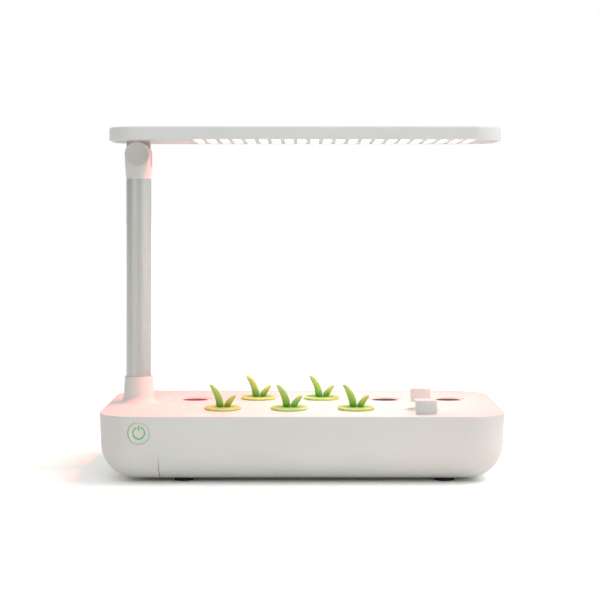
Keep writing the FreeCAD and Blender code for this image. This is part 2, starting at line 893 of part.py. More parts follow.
def pole_tube():
    body = doc.addObject("PartDesign::Body", "pole")
    sketch = sketch_on(body, "pole_section", level=pole_foot)
    for radius in (size["pole_radius"], size["pole_radius"] - size["pole_wall"]):
        circle = Part.Circle(FreeCAD.Vector(), FreeCAD.Vector(0, 0, 1), radius.value)
        curve = sketch.addGeometry(circle)
        sketch.addConstraint(Sketcher.Constraint("Coincident", curve, 3, -1, 1))
        hold(sketch, "Radius", curve, radius)
    pad(body, sketch, pole_end - pole_foot)
    finish(body, "pole_tube", pole_x)


def lamp_lead():
    low = size["socket_seat"] - size["lead_tail"]
    finish(cylinder("lamp_lead_made", size["lead_radius"], slot_low - low), "lamp_lead", pole_x, 0, low)


def pole_head():
    body = doc.addObject("PartDesign::Body", "head")
    wide = size["pole_radius"]
    neck_top = hinge_z - size["neck_straight"]
    low = sketch_on(body, "head_low", level=pole_end)
    rounded_rectangle(low, -wide, wide, -wide, wide, wide - 0.1)
    high = sketch_on(body, "head_high", level=neck_top)
    rounded_rectangle(high, -wide, wide, -head_half, head_half, size["neck_round"])
    neck = body.newObject("PartDesign::AdditiveLoft", "head_neck")
    neck.Profile = low
    neck.Sections = [high]
    neck.Ruled = True
    straight = sketch_on(body, "head_straight", level=neck_top)
    rounded_rectangle(straight, -wide, wide, -head_half, head_half, size["neck_round"])
    pad(body, straight, size["neck_straight"])
    hub = cylinder("head_hub", size["hub_radius"], size["head_depth"], 0, -head_half, hinge_z, "y")
    spigot_radius = size["pole_radius"] - size["pole_wall"] - 2 * size["fit_gap"]
    spigot_low = pole_end - size["spigot_length"]
    spigot = cylinder("head_spigot", spigot_radius, size["spigot_length"] + 1, 0, 0, spigot_low)
    slot = box("head_slot", -past, past, -ear_inner, ear_inner, slot_low, lamp_high)
    lead = cylinder(
        "head_lead_hole",
        size["lead_radius"] + size["fit_gap"],
        slot_low - spigot_low + 2,
        0,
        0,
        spigot_low - 1,
    )
    sink = size["cover_disc_thick"]
    bore = cylinder("head_pin_bore", size["pin_radius"] + size["fit_gap"], 2 * past, 0, -past, hinge_z, "y")
    disc_radius = size["cover_disc_radius"] + size["fit_gap"]
    front_disc = cylinder("head_front_disc", disc_radius, sink + 5, 0, -head_half - 5, hinge_z, "y")
    back_disc = cylinder("head_back_disc", disc_radius, sink + 5, 0, head_half - sink, hinge_z, "y")
    pin_seat = cylinder(
        "head_pin_seat",
        size["pin_head_radius"] + size["fit_gap"],
        sink + size["pin_head_height"] + 5,
        0,
        -head_half - 5,
        hinge_z,
        "y",
    )
    nut_seat = hexagon("head_nut_seat", size["nut_flats"] + 2 * size["fit_gap"], size["nut_height"] + 5)
    put(nut_seat, 0, head_half - sink - size["nut_height"], hinge_z)
    tools = [slot, lead, bore, front_disc, back_disc, pin_seat, nut_seat]
    finish(cut("pole_head_made", fuse("head_body", [body, hub, spigot]), tools), "pole_head", pole_x)


def hexagon(name, flats, length):
    item = doc.addObject("Part::Prism", name)
    item.Polygon = 6
    item.Placement.Rotation = FreeCAD.Rotation(FreeCAD.Vector(1, 0, 0), -90)
    half_angle = as_size(30)
    corner = flats / 2 / Size(math.cos(math.radians(30)), f"cos({half_angle.formula})")
    return bind(item, Circumradius=corner, Height=length)


def hinge_hardware():
    sink = size["cover_disc_thick"]
    head_back = -head_half + sink + size["pin_head_height"]
    pin_end = head_half - sink - 2 * size["fit_gap"]
    head = cylinder(
        "pin_head", size["pin_head_radius"], size["pin_head_height"], 0, -head_half + sink, hinge_z, "y"
    )
    shank = cylinder("pin_shank", size["pin_radius"], pin_end - head_back, 0, head_back, hinge_z, "y")
    finish(fuse("hinge_pin_made", [head, shank]), "hinge_pin", pole_x)

    nut = put(
        hexagon("nut_block", size["nut_flats"], size["nut_height"]),
        0,
        head_half - sink - size["nut_height"],
        hinge_z,
    )
    hole_radius = size["pin_radius"] + size["fit_gap"]
    bore = cylinder("nut_bore", hole_radius, 2 * past, 0, -past, hinge_z, "y")
    finish(cut("hinge_nut_made", nut, [bore]), "hinge_nut", pole_x)

    for side, name in ((-1, "front"), (1, "rear")):
        y = side * (ear_inner - size["washer_gap"])
        low = y if side < 0 else y - size["washer_thick"]
        ring = cylinder(f"{name}_washer", size["washer_radius"], size["washer_thick"], 0, low, hinge_z, "y")
        hole = cylinder(f"{name}_washer_bore", hole_radius, 2 * past, 0, -past, hinge_z, "y")
        finish(cut(f"{name}_washer_made", ring, [hole]), f"friction_washer_{name}", pole_x)

        low = -head_half if side < 0 else head_half - sink
        disc = cylinder(f"{name}_disc", size["cover_disc_radius"], sink, 0, low, hinge_z, "y")
        finish(disc, f"hinge_cover_{name}", pole_x, low, hinge_z)


def power_button():
    radius = size["button_radius"]
    flange_low = size["shell_wall"] + size["seat_gap"]
    stem_low = flange_low + size["button_flange_thick"]
    disc = wall_cylinder("button_disc", radius, 0, flange_low + 0.5)
    flange = wall_cylinder(
        "button_flange_ring", radius + size["button_flange"], flange_low, size["button_flange_thick"]
    )
    stem = wall_cylinder(
        "button_stem", size["button_stem_radius"], stem_low - 0.5, size["plunger_front"] - stem_low + 0.5
    )
    dish = button_dish("button_dish_ball")
    symbol = symbol_form("symbol_pocket", size["fit_gap"])
    flush = common("button_flush", fuse("button_body", [disc, flange, stem]), outer_form)
    finish(cut("power_button_made", flush, [dish, symbol]), "power_button")


def button_dish(name):
    """A ball that dishes the face of the button."""
    dish_radius = size["button_radius"] - 0.4
    depth = size["button_dish"]
    ball_radius = (dish_radius * dish_radius + depth * depth) / (2 * depth)
    ball = doc.addObject("Part::Sphere", name)
    bind(ball, Radius=ball_radius)
    return from_button(ball, depth=depth - ball_radius)


def symbol_form(name, grow):
    """A ring with a gap at its top and a bar in the gap, grown all round for its pocket."""
    grow = as_size(grow)
    half_stroke = size["symbol_stroke"] / 2 + grow
    front = as_size(-1)
    length = 1 + size["symbol_depth"] + grow
    ring = cut(
        f"{name}_ring",
        wall_cylinder(f"{name}_ring_outer", size["symbol_radius"] + half_stroke, front, length),
        [wall_cylinder(f"{name}_ring_inner", size["symbol_radius"] - half_stroke, front, length)],
    )
    gap_half = size["symbol_gap_half"] - grow
    gap = wall_box(f"{name}_gap", -gap_half, gap_half, -2 * size["symbol_radius"], 0, front, length)
    bar = wall_box(
        f"{name}_bar",
        -half_stroke,
        half_stroke,
        -size["symbol_bar"] - grow,
        -size["symbol_radius"] / 3 + grow,
        front,
        length,
    )
    return fuse(name, [cut(f"{name}_open_ring", ring, [gap]), bar])


def power_symbol():
    dish = button_dish("symbol_dish_ball")
    finish(cut("power_symbol_made", symbol_form("symbol_body", 0), [dish]), "power_symbol")


def control_board():
    low = size["board_back"]
    block = wall_box(
        "board_block",
        -size["board_left"],
        size["board_right"],
        -size["board_up"],
        size["board_down"],
        low,
        size["board_thick"],
    )
    holes = [
        wall_cylinder(f"board_hole_{n}", screw_hole, low - 1, size["board_thick"] + 2, across, down)
        for n, (across, down) in enumerate(board_posts)
    ]
    finish(cut("control_board_made", block, holes), "control_board")

    screws = []
    for number, (across, down) in enumerate(board_posts):
        back = low + size["board_thick"]
        shank_low = back - size["board_thick"] - size["screw_bite"]
        shank_length = size["board_thick"] + size["screw_bite"]
        screws.append(
            wall_cylinder(
                f"board_screw_shank_{number}", size["screw_radius"], shank_low, shank_length, across, down
            )
        )
        screws.append(
            wall_cylinder(
                f"board_screw_head_{number}",
                size["screw_head_radius"],
                back,
                size["screw_head_height"],
                across,
                down,
            )
        )
    finish(fuse("board_screws_made", screws), "board_screws")

    half = size["switch_width"] / 2
    switch_low = low - size["switch_depth"]
    body = wall_box("switch_block", -half, half, -half, half, switch_low, size["switch_depth"])
    bore_radius = size["plunger_radius"] + size["fit_gap"]
    plunger_end = size["plunger_front"] + size["plunger_length"]
    bore_end = plunger_end + size["button_travel"] + size["washer_gap"]
    bore = wall_cylinder("switch_bore", bore_radius, switch_low - 1, bore_end - switch_low + 1)
    finish(cut("button_switch_made", body, [bore]), "button_switch")

    plunger = wall_cylinder(
        "switch_plunger_made", size["plunger_radius"], size["plunger_front"], size["plunger_length"]
    )
    finished_in_wall(plunger, "switch_plunger", depth=size["plunger_front"])


def finished_in_wall(item, label, across=0, down=0, depth=0):
    item.Label = label
    from_button(item, across, down, depth)
    base_x = button_x + across + origin_shift
    bind(item, Placement__Base__x=base_x)
    finished.append(item)


def power_inlet():
    rise = size["inlet_rise"]
    y = inlet_y
    barrel = cylinder(
        "inlet_barrel",
        size["inlet_radius"],
        size["inlet_length"] + 0.5,
        inlet_x,
        y - size["inlet_length"],
        rise,
        "y",
    )
    flange = cylinder(
        "inlet_flange_ring", size["inlet_flange"], size["inlet_flange_thick"], inlet_x, y, rise, "y"
    )
    face = y + size["inlet_flange_thick"]
    bore = cylinder(
        "inlet_bore_hole",
        size["inlet_bore"],
        size["inlet_bore_depth"] + 1,
        inlet_x,
        face - size["inlet_bore_depth"],
        rise,
        "y",
    )
    pin = cylinder(
        "inlet_centre_pin",
        size["inlet_pin"],
        size["inlet_bore_depth"] - 0.5,
        inlet_x,
        face - size["inlet_bore_depth"] - 1,
        rise,
        "y",
    )
    shell = cut("inlet_shell", fuse("inlet_body", [barrel, flange]), [bore])
    finish(fuse("power_inlet_made", [shell, pin]), "power_inlet")


def water_pump():
    inside = seam_x + size["shell_wall"]
    left = inside + size["pump_off_wall"]
    right = left + size["pump_length"]
    front = gland_y - size["pump_width"] / 2
    back = gland_y + size["pump_width"] / 2
    low = floor_high + size["pump_cup_height"]
    block = rounded_block(
        "pump_block", left, right, front, back, size["pump_round"], low, size["pump_height"]
    )
    round_edges(block, size["pump_round"] / 2, highest=True)
    middle_x = (left + right) / 2
    top = low + size["pump_height"]
    nozzle = cylinder(
        "pump_nozzle", size["pump_nozzle_radius"], size["pump_nozzle_height"] + 1, middle_x, gland_y, top - 1
    )
    bore = cylinder(
        "pump_nozzle_hole",
        size["pump_nozzle_bore"],
        size["pump_nozzle_height"] + 5,
        middle_x,
        gland_y,
        top - 4,
    )
    finish(cut("water_pump_made", fuse("pump_body", [block, nozzle]), [bore]), "water_pump")

    cups = []
    for number, (side_x, side_y) in enumerate([(-1, -1), (1, -1), (1, 1), (-1, 1)]):
        cup = doc.addObject("Part::Cone", f"pump_cup_{number}")
        bind(
            cup,
            Radius1=size["pump_cup_radius"],
            Radius2=size["pump_cup_radius"] / 2,
            Height=size["pump_cup_height"],
        )
        cup_x = middle_x + side_x * (size["pump_length"] / 2 - size["pump_cup_radius"] - 1)
        cup_y = gland_y + side_y * (size["pump_width"] / 2 - size["pump_cup_radius"] - 1)
        cups.append(put(cup, cup_x, cup_y, floor_high))
    finish(fuse("pump_suction_cups_made", cups), "pump_suction_cups")

    housing_face = seam_x - size["shell_wall"]
    gland_left = housing_face - size["gland_head_thick"]
    shank = cylinder(
        "gland_shank", size["gland_radius"], left - gland_left, gland_left, gland_y, size["gland_rise"], "x"
    )
    head = cylinder(
        "gland_head_ring",
        size["gland_head"],
        size["gland_head_thick"],
        gland_left,
        gland_y,
        size["gland_rise"],
        "x",
    )
    finish(fuse("pump_gland_made", [shank, head]), "pump_lead_gland")


pod_start = seam_x + size["pod_from_seam"]
pod_pitch = (-left_end - size["pod_from_right"] - pod_start) / 4
back_row = [pod_start + number * pod_pitch for number in range(5)]
front_row = [pod_start + (number + 0.5) * pod_pitch for number in range(4)]
back_y = size["pod_back_out"]
front_y = -size["pod_front_out"]
port_x = front_row[3]
pods = [(x, back_y) for x in back_row] + [(x, front_y) for x in front_row[:3]]
capped_pods = [(x, front_y) for x in front_row[:3]] + [(x, back_y) for x in back_row[1:3]]
tabs = {
    "front": (port_x + size["tab_front_past_port"], size["tab_front_from_edge"] - size["base_depth"] / 2),
    "back": (port_x + size["tab_back_past_port"], back_y - size["tab_back_from_row"]),
}


def planting_deck():
    plate = right_of("deck_plate", seam_x, top_form)
    inside = seam_x + size["shell_wall"] + size["slide_gap"]
    skirt = cut(
        "deck_skirt",
        right_of("deck_skirt_outer", inside, skirt_outer),
        [right_of("deck_skirt_inner", inside + size["skirt_wall"], skirt_inner)],
    )
    ring_low = size["deck_height"] - size["pod_recess_depth"] - size["pod_floor"]
    sleeve_low = ring_low - size["pod_sleeve_depth"]
    added, holes = [plate, skirt], []
    for number, (x, y) in enumerate(pods):
        added.append(
            cylinder(
                f"pod_ring_{number}", size["pod_ring_radius"], size["deck_height"] - ring_low, x, y, ring_low
            )
        )
        sleeve = size["pod_radius"] + size["pod_sleeve_wall"]
        added.append(cylinder(f"pod_sleeve_{number}", sleeve, size["pod_sleeve_depth"] + 1, x, y, sleeve_low))
        recess_low = size["deck_height"] - size["pod_recess_depth"]
        holes.append(cylinder(f"pod_recess_{number}", size["pod_recess_radius"], past, x, y, recess_low))
        holes.append(cylinder(f"pod_hole_{number}", size["pod_radius"], 2 * past, x, y, sleeve_low - past))
    port_hole = size["port_bore"] + size["port_tube_wall"] + size["fit_gap"]
    holes.append(cylinder("port_hole", port_hole, 2 * past, port_x, front_y, wall_top - past))
    for name, (x, y) in tabs.items():
        for side in (-1, 1):
            peg_y = y + size["tab_hollow"] + size["tab_web"] / 2
            peg_x = x + side * size["tab_peg_out"]
            holes.append(
                cylinder(
                    f"{name}_peg_hole_{side}",
                    size["tab_peg_radius"] + size["fit_gap"],
                    10,
                    peg_x,
                    peg_y,
                    wall_top - 5,
                )
            )
    finish(cut("planting_deck_made", fuse("deck_body", added), holes), "planting_deck")


def fill_port_ring():
    top = size["deck_height"] + size["port_flange_thick"]
    flange = cylinder(
        "port_flange_disc",
        size["port_flange"],
        size["port_flange_thick"],
        port_x,
        front_y,
        size["deck_height"],
    )
    tube = cylinder(
        "port_tube",
        size["port_bore"] + size["port_tube_wall"],
        size["port_tube_depth"] + 0.5,
        port_x,
        front_y,
        size["deck_height"] - size["port_tube_depth"],
    )
    bore = cylinder("port_bore_hole", size["port_bore"], 2 * past, port_x, front_y, top - past)
    flare = doc.addObject("Part::Cone", "port_flare")
    bind(
        flare,
        Radius1=size["port_bore"],
        Radius2=size["port_bore"] + size["port_flange_thick"],
        Height=size["port_flange_thick"],
    )
    put(flare, port_x, front_y, top - size["port_flange_thick"])
    finish(cut("fill_port_ring_made", fuse("port_body", [flange, tube]), [bore, flare]), "fill_port_ring")


def lift_tabs():
    low = size["deck_height"]
    top = low + size["tab_height"]
    lip_low = top - size["tab_lip"]
    half = size["tab_width"] / 2
    for name, (x, y) in tabs.items():
        web_front = y + size["tab_hollow"]
        web_back = web_front + size["tab_web"]
        lip = box(f"{name}_tab_lip", x - half, x + half, y, y + size["tab_depth"], lip_low, top)
        web = box(f"{name}_tab_web", x - half, x + half, web_front, web_back, low, top)
        cheek = box(f"{name}_tab_cheek", x - half, x - half + size["tab_side"], y, web_back, low, top)
        pegs = []
        for side in (-1, 1):
            pegs.append(
                cylinder(
                    f"{name}_tab_peg_{side}",
                    size["tab_peg_radius"],
                    size["tab_peg_length"] + size["tab_lip"],
                    x + side * size["tab_peg_out"],
                    (web_front + web_back) / 2,
                    low - size["tab_peg_length"],
                )
            )
        finish(fuse(f"{name}_tab_made", [lip, web, cheek] + pegs), f"{name}_lift_tab")


def leaf(name, rise, foot, width, lean, sweep, side):
    """A horn that leans over along a round arc and thins to a tip."""
    lean, sweep = math.radians(lean.value), math.radians(sweep.value)
    arc_radius = rise.value / (math.sin(lean + sweep) - math.sin(lean))
    sections = []
    for number, along in enumerate((0.0, 0.25, 0.5, 0.7, 0.85, 0.95, 0.995)):
        angle = lean + sweep * along
        reach = foot.value + arc_radius * (math.cos(lean) - math.cos(angle))
        height = arc_radius * (math.sin(angle) - math.sin(lean))
        half_width = width * math.sqrt(1 - along ** 2.5)
        ellipse = doc.addObject("Part::Ellipse", f"{name}_section_{number}")
        bind(ellipse, MajorRadius=half_width, MinorRadius=half_width * size["leaf_flatness"])
        top = size["deck_height"].value + size["cap_thick"].value - 1
        ellipse.Placement = FreeCAD.Placement(
            FreeCAD.Vector(side * reach, 0, top + height),
            FreeCAD.Rotation(FreeCAD.Vector(0, 1, 0), side * math.degrees(angle)),
        )
        sections.append(ellipse)
    loft = doc.addObject("Part::Loft", name)
    loft.Sections = sections
    loft.Solid = True
    return loft


def cap_form(name):
    """A dished disc with a round rim and a hollow plug below it, turned about its axis."""
    low = size["deck_height"]
    top = low + size["cap_thick"]
    round_radius = size["cap_thick"] / 2
    rim_middle = size["cap_radius"] - round_radius
    dish = size["cap_dish"]
    ball_radius = (rim_middle * rim_middle + dish * dish) / (2 * dish)
    plug_low = low - size["cap_plug_depth"]
    hollow = size["cap_plug_radius"] - size["cap_plug_wall"]
    ceiling = low - size["cap_plug_wall"] / 2
    rim_centre = (rim_middle, low + round_radius)
    points = [
        (0, top - dish),
        (0, ceiling),
        (hollow, ceiling),
        (hollow, plug_low),
        (size["cap_plug_radius"], plug_low),
        (size["cap_plug_radius"], low),
        (rim_middle, low),
        (size["cap_radius"], low + round_radius),
        (rim_middle, top),
    ]
    arcs = [
        (6, rim_centre, round_radius),
        (7, rim_centre, round_radius),
        (8, (0, top - dish + ball_radius), ball_radius),
    ]
    body = doc.addObject("PartDesign::Body", f"{name}_body")
    sketch = sketch_on(body, f"{name}_outline", "XZ_Plane")
    closed_outline(sketch, points, arcs)
    turned = body.newObject("PartDesign::Revolution", f"{name}_turned")
    turned.Profile = sketch
    turned.ReferenceAxis = (sketch, ["V_Axis"])
    turned.Angle = 360
    return body


def sprout_caps():
    for number, (x, y) in enumerate(capped_pods, start=1):
        name = f"cap_{number}"
        body = cap_form(name)
        tall = leaf(
            f"{name}_tall_leaf",
            size["leaf_tall_rise"],
            size["leaf_tall_foot"],
            size["leaf_tall_width"],
            size["leaf_tall_lean"],
            size["leaf_tall_sweep"],
            -1,
        )
        short = leaf(
            f"{name}_short_leaf",
            size["leaf_short_rise"],
            size["leaf_short_foot"],
            size["leaf_short_width"],
            size["leaf_short_lean"],
            size["leaf_short_sweep"],
            1,
        )
        finish(fuse(f"{name}_made", [body, tall, short]), f"sprout_cap_{number}", x, y)


def lamp_block(name, inset, level, length, down=False):
    half = size["lamp_depth"] / 2 - inset
    radius = size["lamp_round"] - inset
    return rounded_block(
        name, lamp_left + inset, lamp_right - inset, -half, half, radius, level, length, down
    )


led_left = -size["window_first"] - size["window_width"] / 2 - size["diffuser_end_lap"]
led_right = led_left + (size["window_count"] - 1) * size["window_pitch"] + size["window_width"]
led_right = led_right + 2 * size["diffuser_end_lap"]
window_length = size["lamp_depth"] - 2 * size["window_margin"]
led_board_half = size["lamp_depth"] / 2 - size["led_board_margin"]
led_bosses = [
    (x, side * (led_board_half - 2 * size["led_boss_radius"]))
    for x in (led_left + 2 * size["led_boss_radius"], led_right - 2 * size["led_boss_radius"])
    for side in (-1, 1)
]
bracket_screw_places = [
    (x, side * (size["bracket_depth"] / 2 - 2 * size["screw_head_radius"]))
    for x in (bracket_left + 2 * size["screw_head_radius"], bracket_right - 2 * size["screw_head_radius"])
    for side in (-1, 1)
]
cover_bite = size["lamp_wall"] * 0.6


def lamp_top_cover():
    outer = lamp_block("lamp_outer", as_size(0), lamp_low, size["lamp_thick"])
    round_edges(outer, size["lamp_edge_round"], highest=True)
    inner = lamp_block("lamp_inner", size["lamp_wall"], lamp_low, size["lamp_thick"] - size["lamp_wall"])
    shell = cut("lamp_shell", outer, [inner])
    bosses, holes = [shell], []
    for number, (x, y) in enumerate(led_bosses):
        bosses.append(
            cylinder(
                f"led_boss_{number}",
                size["led_boss_radius"],
                size["led_boss_height"] + 0.5,
                x,
                y,
                led_board_high,
            )
        )
        depth = size["led_boss_height"] + cover_bite
        holes.append(cylinder(f"led_pilot_{number}", screw_hole, depth + 0.1, x, y, led_board_high - 0.1))
    for number, (x, y) in enumerate(bracket_screw_places):
        holes.append(
            cylinder(f"bracket_pilot_{number}", screw_hole, cover_bite + 0.1, x, y, lamp_ceiling - 0.1)
        )
    finish(cut("lamp_top_cover_made", fuse("lamp_cover_body", bosses), holes), "lamp_top_cover")


def lamp_grille():
    inset = size["lamp_wall"] + size["grille_gap"]
    body = lamp_block("grille", inset, lamp_low, size["grille_thick"])
    rim = sketch_on(body, "grille_rim_outline", level=lamp_low + size["grille_thick"])
    for step in (inset, inset + size["grille_rim"]):
        half = size["lamp_depth"] / 2 - step
        rounded_rectangle(rim, lamp_left + step, lamp_right - step, -half, half, size["lamp_round"] - step)
    pad(body, rim, size["grille_rim_height"])
    window = sketch_on(body, "grille_window", level=lamp_low)
    middle, half_width = -size["window_first"], size["window_width"] / 2
    half_length = window_length / 2
    rounded_rectangle(
        window, middle - half_width, middle + half_width, -half_length, half_length, size["window_round"]
    )
    opening = pocket(body, window, size["grille_thick"], up=True)
    doc.recompute()
    row = body.newObject("PartDesign::LinearPattern", "grille_windows")
    row.Originals = [opening]
    row.Direction = (window, ["H_Axis"])
    bind(row, Occurrences=size["window_count"], Length=(size["window_count"] - 1) * size["window_pitch"])
    body.Tip = row
    lug_half_y = lug_half + size["seat_gap"]
    lug_half_x = size["lug_width"] / 2 + size["seat_gap"]
    hole = box(
        "grille_lug_hole",
        pole_x - lug_half_x,
        pole_x + lug_half_x,
        -lug_half_y,
        lug_half_y,
        lamp_low - 1,
        lamp_high,
    )
    finish(cut("lamp_grille_made", body, [hole]), "lamp_grille")


def lamp_diffuser():
    half = window_length / 2 + size["diffuser_lap"]
    low = lamp_low + size["grille_thick"]
    finish(
        box("diffuser_made", led_left, led_right, -half, half, low, low + size["diffuser_thick"]),
        "diffuser",
        led_left,
        -half,
        low,
    )


def led_board():
    board = box(
        "led_board_block", led_left, led_right, -led_board_half, led_board_half, led_board_low, led_board_high
    )
    holes = [
        cylinder(f"led_hole_{n}", screw_hole, 2 * past, x, y, led_board_low - past)
        for n, (x, y) in enumerate(led_bosses)
    ]
    finish(cut("led_board_made", board, holes), "led_board")

    reach = size["led_board_thick"] + size["led_boss_height"] + cover_bite - 0.2
    screws = [screw(f"led_screw_{n}", x, y, led_board_low, reach) for n, (x, y) in enumerate(led_bosses)]
    finish(fuse("led_board_screws_made", screws), "led_board_screws")

    rows, columns = int(size["led_rows"].value), int(size["led_columns"].value)
    pitch = 2 * size["window_pitch"]
    chips = []
    for row in range(rows):
        for column in range(columns):
            x = -size["window_first"] + size["window_pitch"] / 2 + column * pitch - size["led_length"] / 2
            y = (row - (rows - 1) / 2) * size["led_row_pitch"] - size["led_width"] / 2
            chip = doc.addObject("Part::Box", f"led_{row}_{column}")
            bind(chip, Length=size["led_length"], Width=size["led_width"], Height=size["led_height"])
            chips.append(put(chip, x, y, led_board_low - size["led_height"]))
    finish(fuse("led_chips_made", chips), "led_chips")


def lamp_bracket():
    half_y = size["bracket_depth"] / 2
    plate = box("bracket_plate", bracket_left, bracket_right, -half_y, half_y, bracket_low, lamp_ceiling)
    half_x = size["lug_width"] / 2
    lug = box(
        "bracket_lug", pole_x - half_x, pole_x + half_x, -lug_half, lug_half, hinge_z, bracket_low + 0.5
    )
    nose = cylinder("bracket_nose", half_x, 2 * lug_half, pole_x, -lug_half, hinge_z, "y")
    hole_radius = size["pin_radius"] + size["fit_gap"]
    bore = cylinder("bracket_bore", hole_radius, 2 * past, pole_x, -past, hinge_z, "y")
    holes = [bore]
    for number, (x, y) in enumerate(bracket_screw_places):
        holes.append(cylinder(f"bracket_hole_{number}", screw_hole, 2 * past, x, y, bracket_low - past))
    finish(cut("lamp_bracket_made", fuse("bracket_body", [plate, lug, nose]), holes), "lamp_bracket")

    reach = size["bracket_thick"] + cover_bite - 0.2
    screws = [
        screw(f"bracket_screw_{n}", x, y, bracket_low, reach)
        for n, (x, y) in enumerate(bracket_screw_places)
    ]
    finish(fuse("lamp_bracket_screws_made", screws), "lamp_bracket_screws")


lug_half = ear_inner - size["washer_thick"] - 2 * size["washer_gap"]

control_housing()
water_tank()
joining_screws()
rubber_feet()
pole_cover()
pole_cover_screws()
pole_socket()
pole_socket_screws()
pole_tube()
lamp_lead()
pole_head()
hinge_hardware()
power_button()
power_symbol()
control_board()
power_inlet()
water_pump()
planting_deck()
fill_port_ring()
lift_tabs()
sprout_caps()
lamp_top_cover()
lamp_grille()
lamp_diffuser()
led_board()
lamp_bracket()
doc.recompute()

for item in doc.Objects:
    if "Invalid" in item.State or "Error" in item.State:
        raise RuntimeError(f"{item.Name} failed: {item.State}")
os.makedirs("parts", exist_ok=True)
for item in finished:
    if item.Shape.isNull() or not item.Shape.isValid() or not item.Shape.Solids:
        raise RuntimeError(f"{item.Label} has no valid shape")
for item in finished:
    item.Shape.exportStep(f"parts/{item.Label}.step")
    print(f"{item.Label}: {len(item.Shape.Solids)} solids, {item.Shape.Volume / 1000:.2f} cm3")
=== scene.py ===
import json
import math
import bpy
import bmesh
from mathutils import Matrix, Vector


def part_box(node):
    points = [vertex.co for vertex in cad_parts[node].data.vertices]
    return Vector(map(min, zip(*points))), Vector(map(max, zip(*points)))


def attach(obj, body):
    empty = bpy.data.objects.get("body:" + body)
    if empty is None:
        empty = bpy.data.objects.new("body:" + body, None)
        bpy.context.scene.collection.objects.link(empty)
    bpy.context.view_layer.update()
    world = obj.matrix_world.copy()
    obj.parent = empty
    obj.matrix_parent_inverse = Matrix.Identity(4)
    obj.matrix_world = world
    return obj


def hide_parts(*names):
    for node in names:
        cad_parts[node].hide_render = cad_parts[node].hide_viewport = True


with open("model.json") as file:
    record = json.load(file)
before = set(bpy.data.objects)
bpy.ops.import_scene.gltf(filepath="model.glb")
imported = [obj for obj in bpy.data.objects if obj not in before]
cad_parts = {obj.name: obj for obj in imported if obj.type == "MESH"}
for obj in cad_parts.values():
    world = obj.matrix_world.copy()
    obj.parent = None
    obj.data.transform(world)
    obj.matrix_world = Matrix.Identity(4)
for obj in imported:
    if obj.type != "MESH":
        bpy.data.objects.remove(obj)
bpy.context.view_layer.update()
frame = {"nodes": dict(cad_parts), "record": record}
cadNodes = frame["nodes"]
millimetre = 0.001
mergeDistance = 0.000002  # points of a CAD mesh nearer than this are one
flat = 0.99  # a normal this far along an axis counts as facing along it
near = 0.00001  # and a point this close to a plane lies on it
shellAngle = 30  # edges flatter than this many degrees shade smoothly on the CAD shells
roundAngle = 40  # and on the forms made here


def selectOnly(*objects):
    if bpy.context.object is not None and bpy.context.object.mode != "OBJECT":
        bpy.ops.object.mode_set(mode="OBJECT")
    bpy.ops.object.select_all(action="DESELECT")
    for item in objects:
        item.select_set(True)
    bpy.context.view_layer.objects.active = objects[0]


def editMesh(item):
    selectOnly(item)
    bpy.ops.object.mode_set(mode="EDIT")
    bpy.ops.mesh.select_mode(type="VERT")
    bpy.ops.mesh.select_all(action="DESELECT")


def pick(item, wanted, kind="FACE"):
    # selects the faces, edges or points of the mesh in edit mode that the test accepts
    bpy.ops.mesh.select_mode(type=kind)
    bpy.ops.mesh.select_all(action="DESELECT")
    mesh = bmesh.from_edit_mesh(item.data)
    for part in {"FACE": mesh.faces, "EDGE": mesh.edges, "VERT": mesh.verts}[kind]:
        if wanted(part):
            part.select_set(True)
    mesh.select_flush_mode()
    bmesh.update_edit_mesh(item.data)


def middle(part):
    points = [v.co for v in part.verts]
    return sum(points, Vector()) / len(points)


def leaveEdit():
    bpy.ops.object.mode_set(mode="OBJECT")


def applyModifier(item, kind, **settings):
    selectOnly(item)
    modifier = item.modifiers.new(kind.title(), kind)
    for key, value in settings.items():
        setattr(modifier, key, value)
    bpy.ops.object.modifier_apply(modifier=modifier.name)


def settle(item, name, angle):
    # the finished piece: its place in its mesh, smooth up to an angle
    selectOnly(item)
    bpy.ops.object.transform_apply(location=True, rotation=True, scale=True)
    bpy.ops.object.shade_smooth_by_angle(angle=math.radians(angle))
    item.name = name
    item.data.name = name
    return item


def joinPieces(first, *others):
    selectOnly(first, *others)
    bpy.ops.object.join()
    return first


def nodeCopy(node, name):
    # the CAD node's own form, merged so that its round faces shade smoothly
    item = cadNodes[node].copy()
    item.data = cadNodes[node].data.copy()
    item.parent = None
    for key in list(item.keys()):
        del item[key]
    bpy.context.scene.collection.objects.link(item)
    selectOnly(item)
    if item.data.has_custom_normals:
        bpy.ops.mesh.customdata_custom_splitnormals_clear()
    bpy.ops.object.mode_set(mode="EDIT")
    bpy.ops.mesh.select_mode(type="VERT")
    bpy.ops.mesh.select_all(action="SELECT")
    bpy.ops.mesh.remove_doubles(threshold=mergeDistance)
    leaveEdit()
    return settle(item, name, shellAngle)


def bodyOf(node):
    for body, members in frame["record"]["behaviour"]["bodies"].items():
        if node in members:
            return body


def standFor(item, node, material):
    item.data.materials.clear()
    item.data.materials.append(material)
    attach(item, bodyOf(node))
    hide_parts(node)


# materials

def toLinear(code):
    # an sRGB hex colour as the shader's linear one
    channels = [int(code[i:i + 2], 16) / 255 for i in (1, 3, 5)]
    return [c / 12.92 if c <= 0.04045 else ((c + 0.055) / 1.055) ** 2.4 for c in channels] + [1.0]


def addNode(tree, kind, settings=None, links=None):
    node = tree.nodes.new(kind)
    for key, value in (settings or {}).items():
        if isinstance(key, str) and hasattr(node, key):
            setattr(node, key, value)
        else:
            node.inputs[key].default_value = value
    for key, source in (links or {}).items():
        tree.links.new(source, node.inputs[key])
    return node


